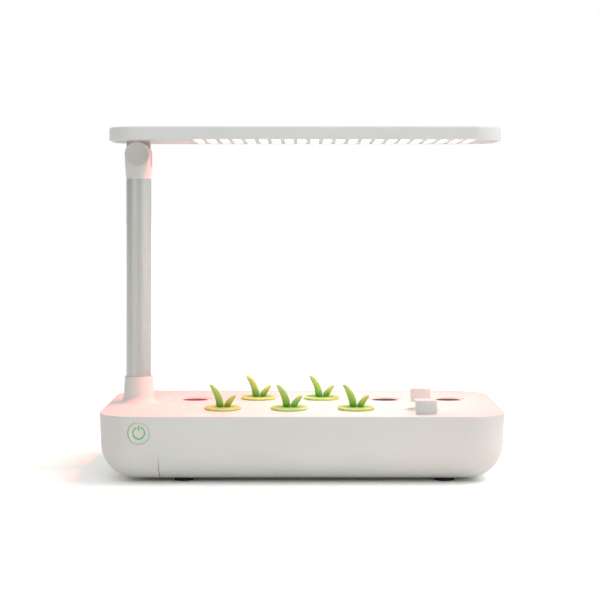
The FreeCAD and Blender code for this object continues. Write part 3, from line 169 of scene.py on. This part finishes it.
def startMaterial(name):
    material = bpy.data.materials.new(name)
    material.use_nodes = True
    tree = material.node_tree
    tree.nodes.clear()
    place = addNode(tree, "ShaderNodeTexCoord").outputs["Object"]
    return material, tree, place


def endMaterial(tree, shader):
    addNode(tree, "ShaderNodeOutputMaterial", links={"Surface": shader.outputs[0]})


def ramp(tree, source, stops):
    node = addNode(tree, "ShaderNodeValToRGB", links={"Fac": source})
    points = node.color_ramp.elements
    while len(points) < len(stops):
        points.new(0.5)
    for point, (at, code) in zip(points, stops):
        point.position = at
        point.color = toLinear(code)
    return node.outputs["Color"]


def perMetre(size):
    # pattern scale for features of that many millimetres
    return 1000.0 / size


def noise(tree, size, detail, place):
    settings = {"Scale": perMetre(size), "Detail": detail}
    return addNode(tree, "ShaderNodeTexNoise", settings, {"Vector": place})


def relief(tree, strength, depth, height):
    # a bump whose depth is in millimetres
    settings = {"Strength": strength, "Distance": depth * millimetre}
    return addNode(tree, "ShaderNodeBump", settings, {"Height": height}).outputs["Normal"]


def mouldedPlastic(name, look):
    # injection moulded: fine spark-eroded grain, colour that drifts a little over the part
    material, tree, place = startMaterial(name)
    drift = noise(tree, look["drift"], 2.0, place)
    grain = noise(tree, look["grain"], 3.0, place)
    colour = ramp(tree, drift.outputs["Fac"], [(0.3, look["dark"]), (0.7, look["light"])])
    rough = addNode(
        tree,
        "ShaderNodeMapRange",
        {"From Min": 0.3, "From Max": 0.7, "To Min": look["rough"][0], "To Max": look["rough"][1]},
        {"Value": grain.outputs["Fac"]},
    )
    bump = relief(tree, look["bump"], 0.05, grain.outputs["Fac"])
    shader = addNode(
        tree,
        "ShaderNodeBsdfPrincipled",
        {"IOR": 1.5, "Metallic": 0.0},
        {"Base Color": colour, "Roughness": rough.outputs["Result"], "Normal": bump},
    )
    endMaterial(tree, shader)
    return material


def rubber(name, look):
    # compression moulded rubber or silicone: matt, with a faint bloom
    material, tree, place = startMaterial(name)
    bloom = noise(tree, look["bloom"], 4.0, place)
    colour = ramp(tree, bloom.outputs["Fac"], [(0.35, look["dark"]), (0.7, look["light"])])
    bump = relief(tree, 0.25, 0.05, bloom.outputs["Fac"])
    shader = addNode(
        tree,
        "ShaderNodeBsdfPrincipled",
        {"Roughness": look["rough"], "IOR": 1.45},
        {"Base Color": colour, "Normal": bump},
    )
    endMaterial(tree, shader)
    return material


def metal(name, look):
    # drawn, turned or cast metal: lines that run along one axis, stretched by the length of a stroke
    material, tree, place = startMaterial(name)
    across = perMetre(look["line"])
    along = perMetre(look["stroke"])
    scale = [across, across, across]
    scale["xyz".index(look["axis"])] = along
    turned = addNode(tree, "ShaderNodeMapping", {"Scale": scale}, {"Vector": place})
    settings = {"Scale": 1.0, "Detail": 4.0}
    lines = addNode(tree, "ShaderNodeTexNoise", settings, {"Vector": turned.outputs["Vector"]})
    colour = ramp(tree, lines.outputs["Fac"], [(0.3, look["dark"]), (0.7, look["light"])])
    rough = addNode(
        tree,
        "ShaderNodeMapRange",
        {"From Min": 0.3, "From Max": 0.7, "To Min": look["rough"][0], "To Max": look["rough"][1]},
        {"Value": lines.outputs["Fac"]},
    )
    bump = relief(tree, look["bump"], 0.02, lines.outputs["Fac"])
    shader = addNode(
        tree,
        "ShaderNodeBsdfPrincipled",
        {"Metallic": 1.0},
        {"Base Color": colour, "Roughness": rough.outputs["Result"], "Normal": bump},
    )
    endMaterial(tree, shader)
    return material


# colours of each finish, its pattern sizes in millimetres, its roughness from and to
# ABS, injection moulded in a finely sparked tool: soft sheen, no sharp reflection
satinAbs = {
    "dark": "#E3E5E1", "light": "#E7E9E5",
    "grain": 0.5, "drift": 70, "rough": (0.4, 0.5), "bump": 0.25,
}
lampAbs = {
    "dark": "#EDEFEC", "light": "#F1F2F0",
    "grain": 0.5, "drift": 70, "rough": (0.4, 0.5), "bump": 0.25,
}
headAbs = {
    "dark": "#E0E2DF", "light": "#E5E7E4",
    "grain": 0.5, "drift": 25, "rough": (0.42, 0.52), "bump": 0.25,
}
shadedDiscAbs = {  # painted shade: greyer than the head round it, for the shadow the lamp casts on the hinge, and a little smoother
    "dark": "#CDD1CD", "light": "#D6DAD5",
    "grain": 0.4, "drift": 20, "rough": (0.28, 0.36), "bump": 0.2,
}
grilleAbs = {
    "dark": "#BEC0BE", "light": "#C6C8C5",
    "grain": 0.5, "drift": 40, "rough": (0.45, 0.55), "bump": 0.3,
}
paintedSleeveShade = {  # painted shade: the inside of the pod sleeves, dull, darker and reddish for the shade and red lamp light in the holes
    "dark": "#8F7470", "light": "#9B7F7A",
    "grain": 0.5, "drift": 12, "rough": (0.5, 0.6), "bump": 0.3,
}
buttonAbs = {  # polished tool, so the dish of the button shines a little
    "dark": "#E3E4E0", "light": "#E7E8E4",
    "grain": 0.4, "drift": 20, "rough": (0.25, 0.33), "bump": 0.15,
}
# nylon, moulded: black for socket, switch and pump, natural for washers and plunger
blackNylon = {
    "dark": "#191A1C", "light": "#232427",
    "grain": 0.6, "drift": 15, "rough": (0.45, 0.6), "bump": 0.4,
}
paleNylon = {
    "dark": "#D8D3C6", "light": "#E0DBCF",
    "grain": 0.5, "drift": 10, "rough": (0.4, 0.5), "bump": 0.2,
}
solderMask = {  # green lacquer over glass cloth
    "dark": "#0E3B22", "light": "#14502E",
    "grain": 0.8, "drift": 6, "rough": (0.28, 0.4), "bump": 0.2,
}
whiteSheath = {  # soft vinyl, drawn over the wires
    "dark": "#D9D8D4", "light": "#E2E1DE",
    "grain": 0.7, "drift": 12, "rough": (0.5, 0.6), "bump": 0.3,
}
# rubber, compression moulded: matt with a faint bloom
footRubber = {"dark": "#1B1B1C", "light": "#2B2B2C", "bloom": 1.2, "rough": 0.75}
sealRubber = {"dark": "#151516", "light": "#242425", "bloom": 1.0, "rough": 0.65}
# metals: line is the width of a mark and stroke its length along the axis
anodised = {  # drawn tube, satin anodised: long fine lines up the pole
    "dark": "#B0B0AD", "light": "#C3C3BF", "line": 0.35, "stroke": 45, "axis": "z",
    "rough": (0.3, 0.42), "bump": 0.35,
}
boardAluminium = {  # rolled sheet under a white coat
    "dark": "#D9DADB", "light": "#E6E7E8", "line": 0.5, "stroke": 30, "axis": "x",
    "rough": (0.35, 0.5), "bump": 0.2,
}
castAluminium = {  # die cast, slightly mottled
    "dark": "#A9ABAE", "light": "#C0C2C5", "line": 0.8, "stroke": 1.2, "axis": "x",
    "rough": (0.4, 0.6), "bump": 0.5,
}
zincSteel = {  # plated screws, pin and nut
    "dark": "#A8ABB0", "light": "#C4C7CC", "line": 0.3, "stroke": 0.9, "axis": "z",
    "rough": (0.25, 0.4), "bump": 0.2,
}
lightGuide = {"base": "#7CC68A", "edge": "#49A85D", "cloud": 2.0, "strength": 0.25}
# painted shade: the leaves' feet darkest, their tips lightest
siliconeLook = {
    "foot": "#4F9A32", "low": "#82B544", "mid": "#AECA66", "tip": "#CBD884",
    "mottle": 1.5, "rough": 0.42,
}
# left and right are the ends of the diffuser, in metres
diffuserLook = {
    "middle": "#FFFAF4", "end": "#FFD9D2", "strength": 3.0,
    "left": -0.1116, "right": 0.1726, "grit": 1.0,
}


def litDiffuser(name, look):
    # opal sheet lit from behind: white in the middle, pinker where the red lamps sit at the ends
    material, tree, place = startMaterial(name)
    split = addNode(tree, "ShaderNodeSeparateXYZ", links={"Vector": place})
    along = addNode(
        tree,
        "ShaderNodeMapRange",
        {"From Min": look["left"], "From Max": look["right"]},
        {"Value": split.outputs["X"]},
    )
    grit = noise(tree, look["grit"], 2.0, place)
    glow = ramp(
        tree,
        along.outputs["Result"],
        [(0.0, look["end"]), (0.35, look["middle"]), (0.65, look["middle"]), (1.0, look["end"])],
    )
    bump = relief(tree, 0.2, 0.05, grit.outputs["Fac"])
    shader = addNode(
        tree,
        "ShaderNodeBsdfPrincipled",
        {"Roughness": 0.5, "IOR": 1.49, "Emission Strength": look["strength"]},
        {"Base Color": glow, "Emission Color": glow, "Normal": bump},
    )
    endMaterial(tree, shader)
    return material


def litGuide(name, look):
    # clear green light guide with a lamp behind it
    material, tree, place = startMaterial(name)
    cloud = noise(tree, look["cloud"], 2.0, place)
    colour = ramp(tree, cloud.outputs["Fac"], [(0.3, look["edge"]), (0.7, look["base"])])
    shader = addNode(
        tree,
        "ShaderNodeBsdfPrincipled",
        {"Roughness": 0.2, "IOR": 1.49, "Emission Strength": look["strength"]},
        {"Base Color": colour, "Emission Color": colour},
    )
    endMaterial(tree, shader)
    return material


def sproutSilicone(name, look):
    # liquid silicone with painted shade: dark green at the foot of the leaves, lime at their tips and on
    # the disc
    material, tree, place = startMaterial(name)
    mottle = noise(tree, look["mottle"], 3.0, place)
    paintedShadeFade = addNode(tree, "ShaderNodeAttribute", {"attribute_name": "paintedShadeFade"})
    colour = ramp(
        tree,
        paintedShadeFade.outputs["Fac"],
        [(0.0, look["foot"]), (0.18, look["low"]), (0.5, look["mid"]), (1.0, look["tip"])],
    )
    bump = relief(tree, 0.15, 0.1, mottle.outputs["Fac"])
    shader = addNode(
        tree,
        "ShaderNodeBsdfPrincipled",
        {
            "Roughness": look["rough"],
            "IOR": 1.41,
            "Subsurface Weight": 0.15,
            "Subsurface Radius": (0.002, 0.003, 0.001),
            "Subsurface Scale": 1.0,
        },
        {"Base Color": colour, "Normal": bump},
    )
    endMaterial(tree, shader)
    return material


whiteShell = mouldedPlastic("satinWhiteAbsMoulded", satinAbs)
lampShell = mouldedPlastic("lampWhiteAbsMoulded", lampAbs)
grilleShell = mouldedPlastic("lampGrilleAbsMoulded", grilleAbs)
# painted shade and red lamp light for the inside of the pod sleeves
paintedSleeveShadeShell = mouldedPlastic("podSleevePaintedShade", paintedSleeveShade)
headShell = mouldedPlastic("headWhiteAbsMoulded", headAbs)
# painted shade for the dish of the hinge covers
shadedDiscShell = mouldedPlastic("hingeCoverPaintedShade", shadedDiscAbs)
buttonShell = mouldedPlastic("buttonWhiteAbsPolished", buttonAbs)
blackShell = mouldedPlastic("blackNylonMoulded", blackNylon)
paleShell = mouldedPlastic("naturalNylonMoulded", paleNylon)
boardMask = mouldedPlastic("greenSolderMask", solderMask)
leadSheath = mouldedPlastic("whiteVinylSheath", whiteSheath)
footMatt = rubber("blackRubberMoulded", footRubber)
sealMatt = rubber("sealRubberMoulded", sealRubber)
poleMetal = metal("aluminiumDrawnAnodised", anodised)
ledBoardMetal = metal("aluminiumBoardCoated", boardAluminium)
bracketMetal = metal("aluminiumDieCast", castAluminium)
screwMetal = metal("steelZincPlated", zincSteel)
diffuserGlow = litDiffuser("opalAcrylicLit", diffuserLook)
symbolGlow = litGuide("greenLightGuide", lightGuide)
leafSilicone = sproutSilicone("limeSiliconeMoulded", siliconeLook)
print("materials made")

nodeFinish = {
    "control_housing": whiteShell, "water_tank": whiteShell, "pole_cover": whiteShell,
    "planting_deck": whiteShell, "fill_port_ring": whiteShell, "front_lift_tab": whiteShell,
    "back_lift_tab": whiteShell, "power_button": buttonShell, "power_symbol": symbolGlow,
    "lamp_top_cover": lampShell, "lamp_grille": grilleShell, "diffuser": diffuserGlow,
    "led_chips": diffuserGlow, "led_board": ledBoardMetal, "lamp_bracket": bracketMetal,
    "pole_head": headShell, "hinge_cover_front": shadedDiscShell, "hinge_cover_rear": shadedDiscShell,
    "pole_tube": poleMetal, "pole_socket": blackShell, "lamp_lead": leadSheath,
    "friction_washer_front": paleShell, "friction_washer_rear": paleShell,
    "hinge_pin": screwMetal, "hinge_nut": screwMetal, "joining_screws": screwMetal,
    "pole_cover_screws": screwMetal, "pole_socket_screws": screwMetal, "board_screws": screwMetal,
    "led_board_screws": screwMetal, "lamp_bracket_screws": screwMetal,
    "rubber_feet": footMatt, "pump_suction_cups": sealMatt, "pump_lead_gland": sealMatt,
    "control_board": boardMask, "button_switch": blackShell, "switch_plunger": paleShell,
    "power_inlet": blackShell, "water_pump": blackShell,
}
for node, material in nodeFinish.items():
    cadNodes[node].data.materials.clear()
    cadNodes[node].data.materials.append(material)
print("CAD nodes finished:", len(nodeFinish))

# shells whose round faces show: merged copies of the CAD form, shaded smoothly
smoothNodes = {
    "control_housing": "controlHousing",
    "water_tank": "waterTank",
    "pole_cover": "poleCover",
    "planting_deck": "plantingDeck",
    "fill_port_ring": "fillPortRing",
    "pole_head": "poleHead",
    "pole_tube": "poleTube",
    "lamp_top_cover": "lampTopCover",
    "lamp_grille": "lampGrille",
    "power_button": "powerButton",
    "power_symbol": "powerSymbol",
}


# the round hinge covers: a raised ring round a dish, in millimetres
coverLook = {"ring": 0.75, "wall": 0.3, "step": 0.35, "dish": 0.9, "rings": 5, "round": 0.22}
coverNodes = {"hinge_cover_front": ("hingeCoverFront", -1), "hinge_cover_rear": ("hingeCoverRear", 1)}


def dishCover(item, look, box, out):
    # out is -1 on the cover that faces the front and 1 on the one at the back
    low, high = box
    outer = low.y if out < 0 else high.y
    editMesh(item)
    pick(item, lambda face: face.normal.y * out > flat and abs(middle(face).y - outer) < near)
    bpy.ops.mesh.dissolve_faces()
    bpy.ops.mesh.inset(thickness=look["ring"] * millimetre)
    bpy.ops.mesh.inset(thickness=look["wall"] * millimetre)
    bpy.ops.transform.translate(value=(0, -out * look["step"] * millimetre, 0))
    radius = (high.x - low.x) / 2 - (look["ring"] + look["wall"]) * millimetre
    for number in range(look["rings"]):
        bpy.ops.mesh.inset(thickness=radius / (look["rings"] + 0.5))
        fall = look["dish"] * (1 - number / look["rings"]) * 2 / (look["rings"] + 1) * millimetre
        bpy.ops.transform.translate(value=(0, -out * fall, 0))
    pick(item, lambda edge: all(abs(point.co.y - outer) < near for point in edge.verts), "EDGE")
    bpy.ops.mesh.bevel(offset=look["round"] * millimetre, segments=3)
    leaveEdit()
    # painted highlight: the raised ring keeps the head's paler plastic, lighter than the painted shade
    # of the dish
    item.data.materials.clear()
    item.data.materials.append(shadedDiscShell)
    item.data.materials.append(headShell)
    across, up = (low.x + high.x) / 2, (low.z + high.z) / 2
    edge = (high.x - low.x) / 2 - (look["ring"] + look["round"]) * millimetre
    for face in item.data.polygons:
        if math.hypot(face.center.x - across, face.center.z - up) > edge:
            face.material_index = 1


# the button's outermost ring falls away into its hole, so a fine step shows round it
# inner and outer bound the ring, front is the place its points lie ahead of, in millimetres
buttonRim = {"node": "power_button", "inner": 10.0, "outer": 10.7, "front": -104.5, "step": 1.0}


def rimButton(item, look):
    low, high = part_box(look["node"])
    across, up = (low.x + high.x) / 2, (low.z + high.z) / 2

    def onRim(point):
        out = math.hypot(point.co.x - across, point.co.z - up) / millimetre
        return look["inner"] < out < look["outer"] and point.co.y < look["front"] * millimetre

    editMesh(item)
    pick(item, onRim, "VERT")
    bpy.ops.transform.translate(value=(0, look["step"] * millimetre, 0))
    leaveEdit()


# painted shade: the inside of the pod sleeves is painted darker and redder than the deck, for the shade
# and red lamp light in the holes, on every upright face below the top and within the radius of a hole,
# in millimetres
sleeveShadeMask = {"top": 64.9, "radius": 14.6, "slope": 0.5}


def podHoles():
    # the middle of every pod hole: the covered ones lie under their caps, the open ones are mounts
    found = []
    for number in range(1, 6):
        low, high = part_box("sprout_cap_%d" % number)
        found.append(((low.x + high.x) / 2, (low.y + high.y) / 2))
    for mount in frame["record"]["mounts"]:
        if mount["name"].startswith("pod_hole"):
            found.append(tuple(mount["pos_m"][:2]))
    return found


def paintSleeveShade(item, look):
    # painted shade: these faces take the darker, redder sleeve colour
    item.data.materials.append(paintedSleeveShadeShell)
    holes = podHoles()
    for face in item.data.polygons:
        if face.center.z > look["top"] * millimetre or abs(face.normal.z) > look["slope"]:
            continue
        for x, y in holes:
            out = Vector((face.center.x - x, face.center.y - y, 0))
            if out.length < look["radius"] * millimetre and out.dot(face.normal) < 0:
                face.material_index = 1


for node, name in smoothNodes.items():
    shell = nodeCopy(node, name)
    if node == buttonRim["node"]:
        rimButton(shell, buttonRim)
    standFor(shell, node, nodeFinish[node])
    if node == "planting_deck":
        paintSleeveShade(shell, sleeveShadeMask)
for node, (name, out) in coverNodes.items():
    cover = nodeCopy(node, name)
    dishCover(cover, coverLook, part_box(node), out)
    settle(cover, name, roundAngle)
    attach(cover, bodyOf(node))
    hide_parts(node)
print("smooth shells made:", len(smoothNodes) + len(coverNodes))

# sprout caps: a dished silicone disc with a plug below and two leaves that lean apart
# lengths in millimetres, lean and sweep of a leaf in degrees, side -1 to the left
sproutCap = {
    "radius": 18.1, "thick": 2.8, "dish": 0.5, "plug": 12.9, "plugWall": 1.6, "plugDepth": 7.0,
    "plugRoof": 0.6, "deck": 65.7, "root": 1.0,
    "sides": 72, "rimRound": 0.48, "rimSteps": 7, "dishSteps": 3, "dishStep": 0.255,
    # painted shade along the disc: its middle, what the rim adds, where that is full and how late it
    # comes
    "middleTint": 0.1, "rimTint": 0.8, "tintReach": 1.12, "tintPower": 4,
    "tall": {"foot": 2.4, "rise": 22.4, "width": 3.85, "lean": 0.0, "sweep": 49.0, "side": -1},
    "short": {"foot": 3.5, "rise": 11.8, "width": 3.3, "lean": 20.0, "sweep": 38.0, "side": 1},
    # a leaf is an oval of that flatness; its tip is that share of its foot
    "leafSides": 12, "flat": 0.62, "tip": 0.08, "taper": 2.5, "steps": 9,
}


def capDisc(look):
    low, thick = look["deck"] * millimetre, look["thick"] * millimetre
    radius, plug = look["radius"] * millimetre, look["plug"] * millimetre
    bpy.ops.mesh.primitive_cylinder_add(
        vertices=look["sides"],
        radius=radius,
        depth=thick,
        location=(0, 0, low + thick / 2),
        end_fill_type="NGON",
    )
    disc = bpy.context.object
    bpy.ops.object.transform_apply(location=True)
    editMesh(disc)
    pick(disc, lambda edge: abs(edge.verts[0].co.z - edge.verts[1].co.z) < near, "EDGE")
    bpy.ops.mesh.bevel(offset=thick * look["rimRound"], segments=look["rimSteps"], profile=0.5)
    pick(disc, lambda face: face.normal.z > flat and len(face.verts) > 10)
    for step in range(look["dishSteps"]):
        bpy.ops.mesh.inset(thickness=radius * look["dishStep"])
        bpy.ops.transform.translate(value=(0, 0, -look["dish"] * millimetre / look["dishSteps"]))
    pick(disc, lambda face: face.normal.z < -flat and len(face.verts) > 10)
    bpy.ops.mesh.inset(thickness=radius - thick * look["rimRound"] - plug)
    bpy.ops.mesh.extrude_region_move(
        TRANSFORM_OT_translate={"value": (0, 0, -look["plugDepth"] * millimetre)}
    )
    bpy.ops.mesh.inset(thickness=look["plugWall"] * millimetre)
    bpy.ops.mesh.extrude_region_move(
        TRANSFORM_OT_translate={"value": (0, 0, (look["plugDepth"] - look["plugRoof"]) * millimetre)}
    )
    leaveEdit()
    # painted shade: green where the leaves stand, lime at the rim
    tint = disc.data.attributes.new("paintedShadeFade", "FLOAT", "POINT")
    for point, entry in zip(disc.data.vertices, tint.data):
        out = Vector((point.co.x, point.co.y)).length / radius
        late = min(1.0, out * look["tintReach"]) ** look["tintPower"]
        entry.value = look["middleTint"] + look["rimTint"] * late
    return disc


def capLeaf(look, leaf):
    lean, sweep = math.radians(leaf["lean"]), math.radians(leaf["sweep"])
    arc = leaf["rise"] * millimetre / (math.sin(lean + sweep) - math.sin(lean))
    top = (look["deck"] + look["thick"]) * millimetre
    low = top - look["root"] * millimetre
    half = leaf["width"] * millimetre
    steps = look["steps"]
    at = Vector((leaf["side"] * leaf["foot"] * millimetre, 0, low))
    bpy.ops.mesh.primitive_circle_add(
        vertices=look["leafSides"], radius=half, fill_type="NGON", location=at
    )
    horn = bpy.context.object
    bpy.ops.object.transform_apply(location=True)
    editMesh(horn)
    pick(horn, lambda face: True)
    bpy.ops.transform.resize(value=(1, look["flat"], 1), center_override=at)
    bpy.ops.transform.rotate(value=-leaf["side"] * lean, orient_axis="Y", center_override=at)
    width = half
    turned = lean
    for step in range(1, steps + 1):
        along = math.sin(step / steps * math.pi / 2)  # rings stand closer near the tip
        angle = lean + sweep * along
        reach = leaf["foot"] * millimetre + arc * (math.cos(lean) - math.cos(angle))
        height = arc * (math.sin(angle) - math.sin(lean))
        there = Vector((leaf["side"] * reach, 0, low + height))
        newWidth = half * max(look["tip"], math.sqrt(max(0.0, 1 - along ** look["taper"])))
        bpy.ops.mesh.extrude_region_move(TRANSFORM_OT_translate={"value": there - at})
        bpy.ops.transform.resize(value=(newWidth / width,) * 3, center_override=there)
        turn = -leaf["side"] * (angle - turned)
        bpy.ops.transform.rotate(value=turn, orient_axis="Y", center_override=there)
        at, width, turned = there, newWidth, angle
    leaveEdit()
    applyModifier(horn, "SUBSURF", levels=2, render_levels=2)
    # painted shade: darker at the foot of the leaf, lighter towards its tip
    tint = horn.data.attributes.new("paintedShadeFade", "FLOAT", "POINT")
    for point, entry in zip(horn.data.vertices, tint.data):
        entry.value = min(1.0, max(0.0, (point.co.z - top) / (leaf["rise"] * millimetre)))
    return horn


def sproutCaps(look):
    capNodes = ["sprout_cap_%d" % number for number in range(1, 6)]
    first = joinPieces(capDisc(look), capLeaf(look, look["tall"]), capLeaf(look, look["short"]))
    for node in capNodes:
        low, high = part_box(node)
        piece = first.copy()
        piece.data = first.data.copy()
        bpy.context.scene.collection.objects.link(piece)
        # the node's disc is round, so its middle is the middle of the box in both ways
        piece.location = ((low.x + high.x) / 2, (low.y + high.y) / 2, 0)
        settle(piece, "sproutCap%s" % node[-1], roundAngle)
        standFor(piece, node, leafSilicone)
    bpy.data.objects.remove(first)


sproutCaps(sproutCap)
print("sprout caps made")

# floor, light and camera
floorLook = {
    "dark": "#F0F0EE", "light": "#F3F3F1", "size": 60.0, "grain": 8.0,
    "near": 0.5, "far": 3.0, "gainNear": 1.64, "gainFar": 2.4,
}


def softFloor(look):
    bpy.ops.mesh.primitive_plane_add(size=look["size"], location=(0, 0, 0))
    floor = bpy.context.object
    floor.name = "floor"
    material, tree, place = startMaterial("paperSweepMatt")
    grain = noise(tree, look["grain"], 2.0, place)
    colour = ramp(tree, grain.outputs["Fac"], [(0.3, look["dark"]), (0.7, look["light"])])
    # the camera and reflections see the paper brighter, and white further off, so it has no horizon
    away = addNode(tree, "ShaderNodeVectorMath", {"operation": "LENGTH"}, {0: place})
    gain = addNode(
        tree,
        "ShaderNodeMapRange",
        {
            "From Min": look["near"],
            "From Max": look["far"],
            "To Min": look["gainNear"],
            "To Max": look["gainFar"],
        },
        {"Value": away.outputs["Value"]},
    )
    path = addNode(tree, "ShaderNodeLightPath")
    seen = addNode(
        tree,
        "ShaderNodeMath",
        {"operation": "MAXIMUM"},
        {0: path.outputs["Is Camera Ray"], 1: path.outputs["Is Glossy Ray"]},
    )
    bright = addNode(
        tree,
        "ShaderNodeVectorMath",
        {"operation": "SCALE"},
        {0: colour, "Scale": gain.outputs["Result"]},
    )
    plain = addNode(tree, "ShaderNodeBsdfDiffuse", links={"Color": colour})
    shown = addNode(tree, "ShaderNodeBsdfDiffuse", links={"Color": bright.outputs["Vector"]})
    both = addNode(
        tree, "ShaderNodeMixShader", links={0: seen.outputs[0], 1: plain.outputs[0], 2: shown.outputs[0]}
    )
    endMaterial(tree, both)
    floor.data.materials.append(material)


def softWorld(look):
    world = bpy.data.worlds.new("studio")
    bpy.context.scene.world = world
    world.use_nodes = True
    tree = world.node_tree
    tree.nodes.clear()
    path = addNode(tree, "ShaderNodeLightPath")
    seen = addNode(
        tree,
        "ShaderNodeMath",
        {"operation": "MAXIMUM"},
        {0: path.outputs["Is Camera Ray"], 1: path.outputs["Is Transmission Ray"]},
    )
    direction = addNode(tree, "ShaderNodeTexCoord").outputs["Generated"]
    split = addNode(tree, "ShaderNodeSeparateXYZ", links={"Vector": direction})
    across = addNode(
        tree, "ShaderNodeMapRange", {"From Min": -1.0, "From Max": 1.0}, {"Value": split.outputs["X"]}
    )
    soft = addNode(
        tree,
        "ShaderNodeMapRange",
        {"To Min": look["left"], "To Max": look["right"]},
        {"Value": across.outputs["Result"]},
    )
    cards = addNode(tree, "ShaderNodeFloatCurve", links={"Value": across.outputs["Result"]})
    # the curve holds 0 to 1, so its levels go in halved and come out doubled
    curve = cards.mapping.curves[0]
    for number, (at, level) in enumerate(look["cards"]):
        if number < 2:
            curve.points[number].location = (at, level / 2)
        else:
            curve.points.new(at, level / 2)
    cards.mapping.update()
    doubled = addNode(tree, "ShaderNodeMath", {"operation": "MULTIPLY", 1: 2.0}, {0: cards.outputs[0]})
    level = addNode(
        tree,
        "ShaderNodeMix",
        {"data_type": "FLOAT"},
        {0: path.outputs["Is Glossy Ray"], 2: soft.outputs["Result"], 3: doubled.outputs[0]},
    )
    room = addNode(
        tree, "ShaderNodeBackground", {"Color": toLinear(look["tint"])}, {"Strength": level.outputs[0]}
    )
    white = addNode(tree, "ShaderNodeBackground", {"Color": toLinear("#FFFFFF"), "Strength": 1.0})
    mix = addNode(
        tree, "ShaderNodeMixShader", links={0: seen.outputs[0], 1: room.outputs[0], 2: white.outputs[0]}
    )
    addNode(tree, "ShaderNodeOutputWorld", links={"Surface": mix.outputs[0]})


def softLamp(name, look):
    data = bpy.data.lights.new(name, "AREA")
    data.shape = "RECTANGLE"
    data.size, data.size_y = look["size"]
    data.energy = look["power"]
    data.color = toLinear(look["tint"])[:3]
    data.spread = math.radians(look.get("spread", 180))
    lamp = bpy.data.objects.new(name, data)
    bpy.context.scene.collection.objects.link(lamp)
    lamp.location = look["place"]
    aim = Vector(look["target"]) - Vector(look["place"])
    lamp.rotation_euler = aim.to_track_quat("-Z", "Y").to_euler()
    return lamp


worldLook = {
    "left": 0.49,
    "right": 0.78,
    "tint": "#FFFFFF",
    # what shiny surfaces see: the two ends first, then from left to right a dark room, a white card,
    # a dark gap at the camera and the right card
    "cards": [
        (0.0, 0.2), (1.0, 1.05),
        (0.08, 0.34), (0.2, 1.0), (0.4, 0.7), (0.58, 0.42), (0.78, 0.7), (0.92, 1.1),
    ],
}
studioLamps = {
    "overheadBox": {
        "place": (1.2, -0.25, 1.85), "target": (0, 0, 0), "size": (1.1, 1.1),
        "power": 13, "tint": "#FFFFFF",
    },
    "rightBox": {
        "place": (2.0, -1.2, 1.1), "target": (0, 0, 0.1), "size": (1.3, 1.3),
        "power": 1, "tint": "#FFFFFF",
    },
}
# the lamp's own light rides on the lamp: red at its left end and on the hinge, white in the middle,
# pink at the right; spread in degrees
growLamps = {
    "growRed": {
        "place": (-0.094, 0, 0.327), "target": (-0.16, 0, 0), "size": (0.026, 0.05),
        "power": 0.24, "tint": "#FF1E14", "spread": 60,
    },
    "growNeck": {
        "place": (-0.1, 0, 0.321), "target": (-0.166, 0, 0.285), "size": (0.05, 0.008),
        "power": 0.03, "tint": "#FF5A50", "spread": 120,
    },
    "growWhite": {
        "place": (0.03, 0, 0.328), "target": (0.03, 0, 0), "size": (0.14, 0.09),
        "power": 0.16, "tint": "#FFFBF6", "spread": 110,
    },
    "growPink": {
        "place": (0.15, -0.015, 0.328), "target": (0.165, 0.02, 0), "size": (0.04, 0.06),
        "power": 0.22, "tint": "#FF4236", "spread": 95,
    },
}

softFloor(floorLook)
softWorld(worldLook)
for name, look in studioLamps.items():
    softLamp(name, look)
for name, look in growLamps.items():
    glowLamp = softLamp(name, look)
    glowLamp.visible_camera = False
    glowLamp.visible_glossy = name == "growRed"  # its glint shows on the pole
    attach(glowLamp, "lamp")

# the photograph's camera: level, its axis crosses the picture at x 303, y 213 of 600,
# focal length 1538 pixels; sensor in millimetres, near and far in metres
cameraLook = {
    "place": (-0.0005, -1.5535, 0.2573), "focal": 1538, "axisX": 303, "axisY": 213, "picture": 600,
    "sensor": 36.0, "near": 0.05, "far": 50.0,
}


def photoCamera(look):
    data = bpy.data.cameras.new("camera")
    data.sensor_width = look["sensor"]
    data.lens = look["focal"] / look["picture"] * data.sensor_width
    data.shift_x = (look["picture"] / 2 - look["axisX"]) / look["picture"]
    data.shift_y = (look["axisY"] - look["picture"] / 2) / look["picture"]
    data.clip_start = look["near"]
    data.clip_end = look["far"]
    camera = bpy.data.objects.new("camera", data)
    bpy.context.scene.collection.objects.link(camera)
    camera.location = look["place"]
    camera.rotation_euler = (math.pi / 2, 0, 0)
    bpy.context.scene.camera = camera


photoCamera(cameraLook)
bpy.context.scene.view_settings.view_transform = "Standard"
print("floor, light and camera set")
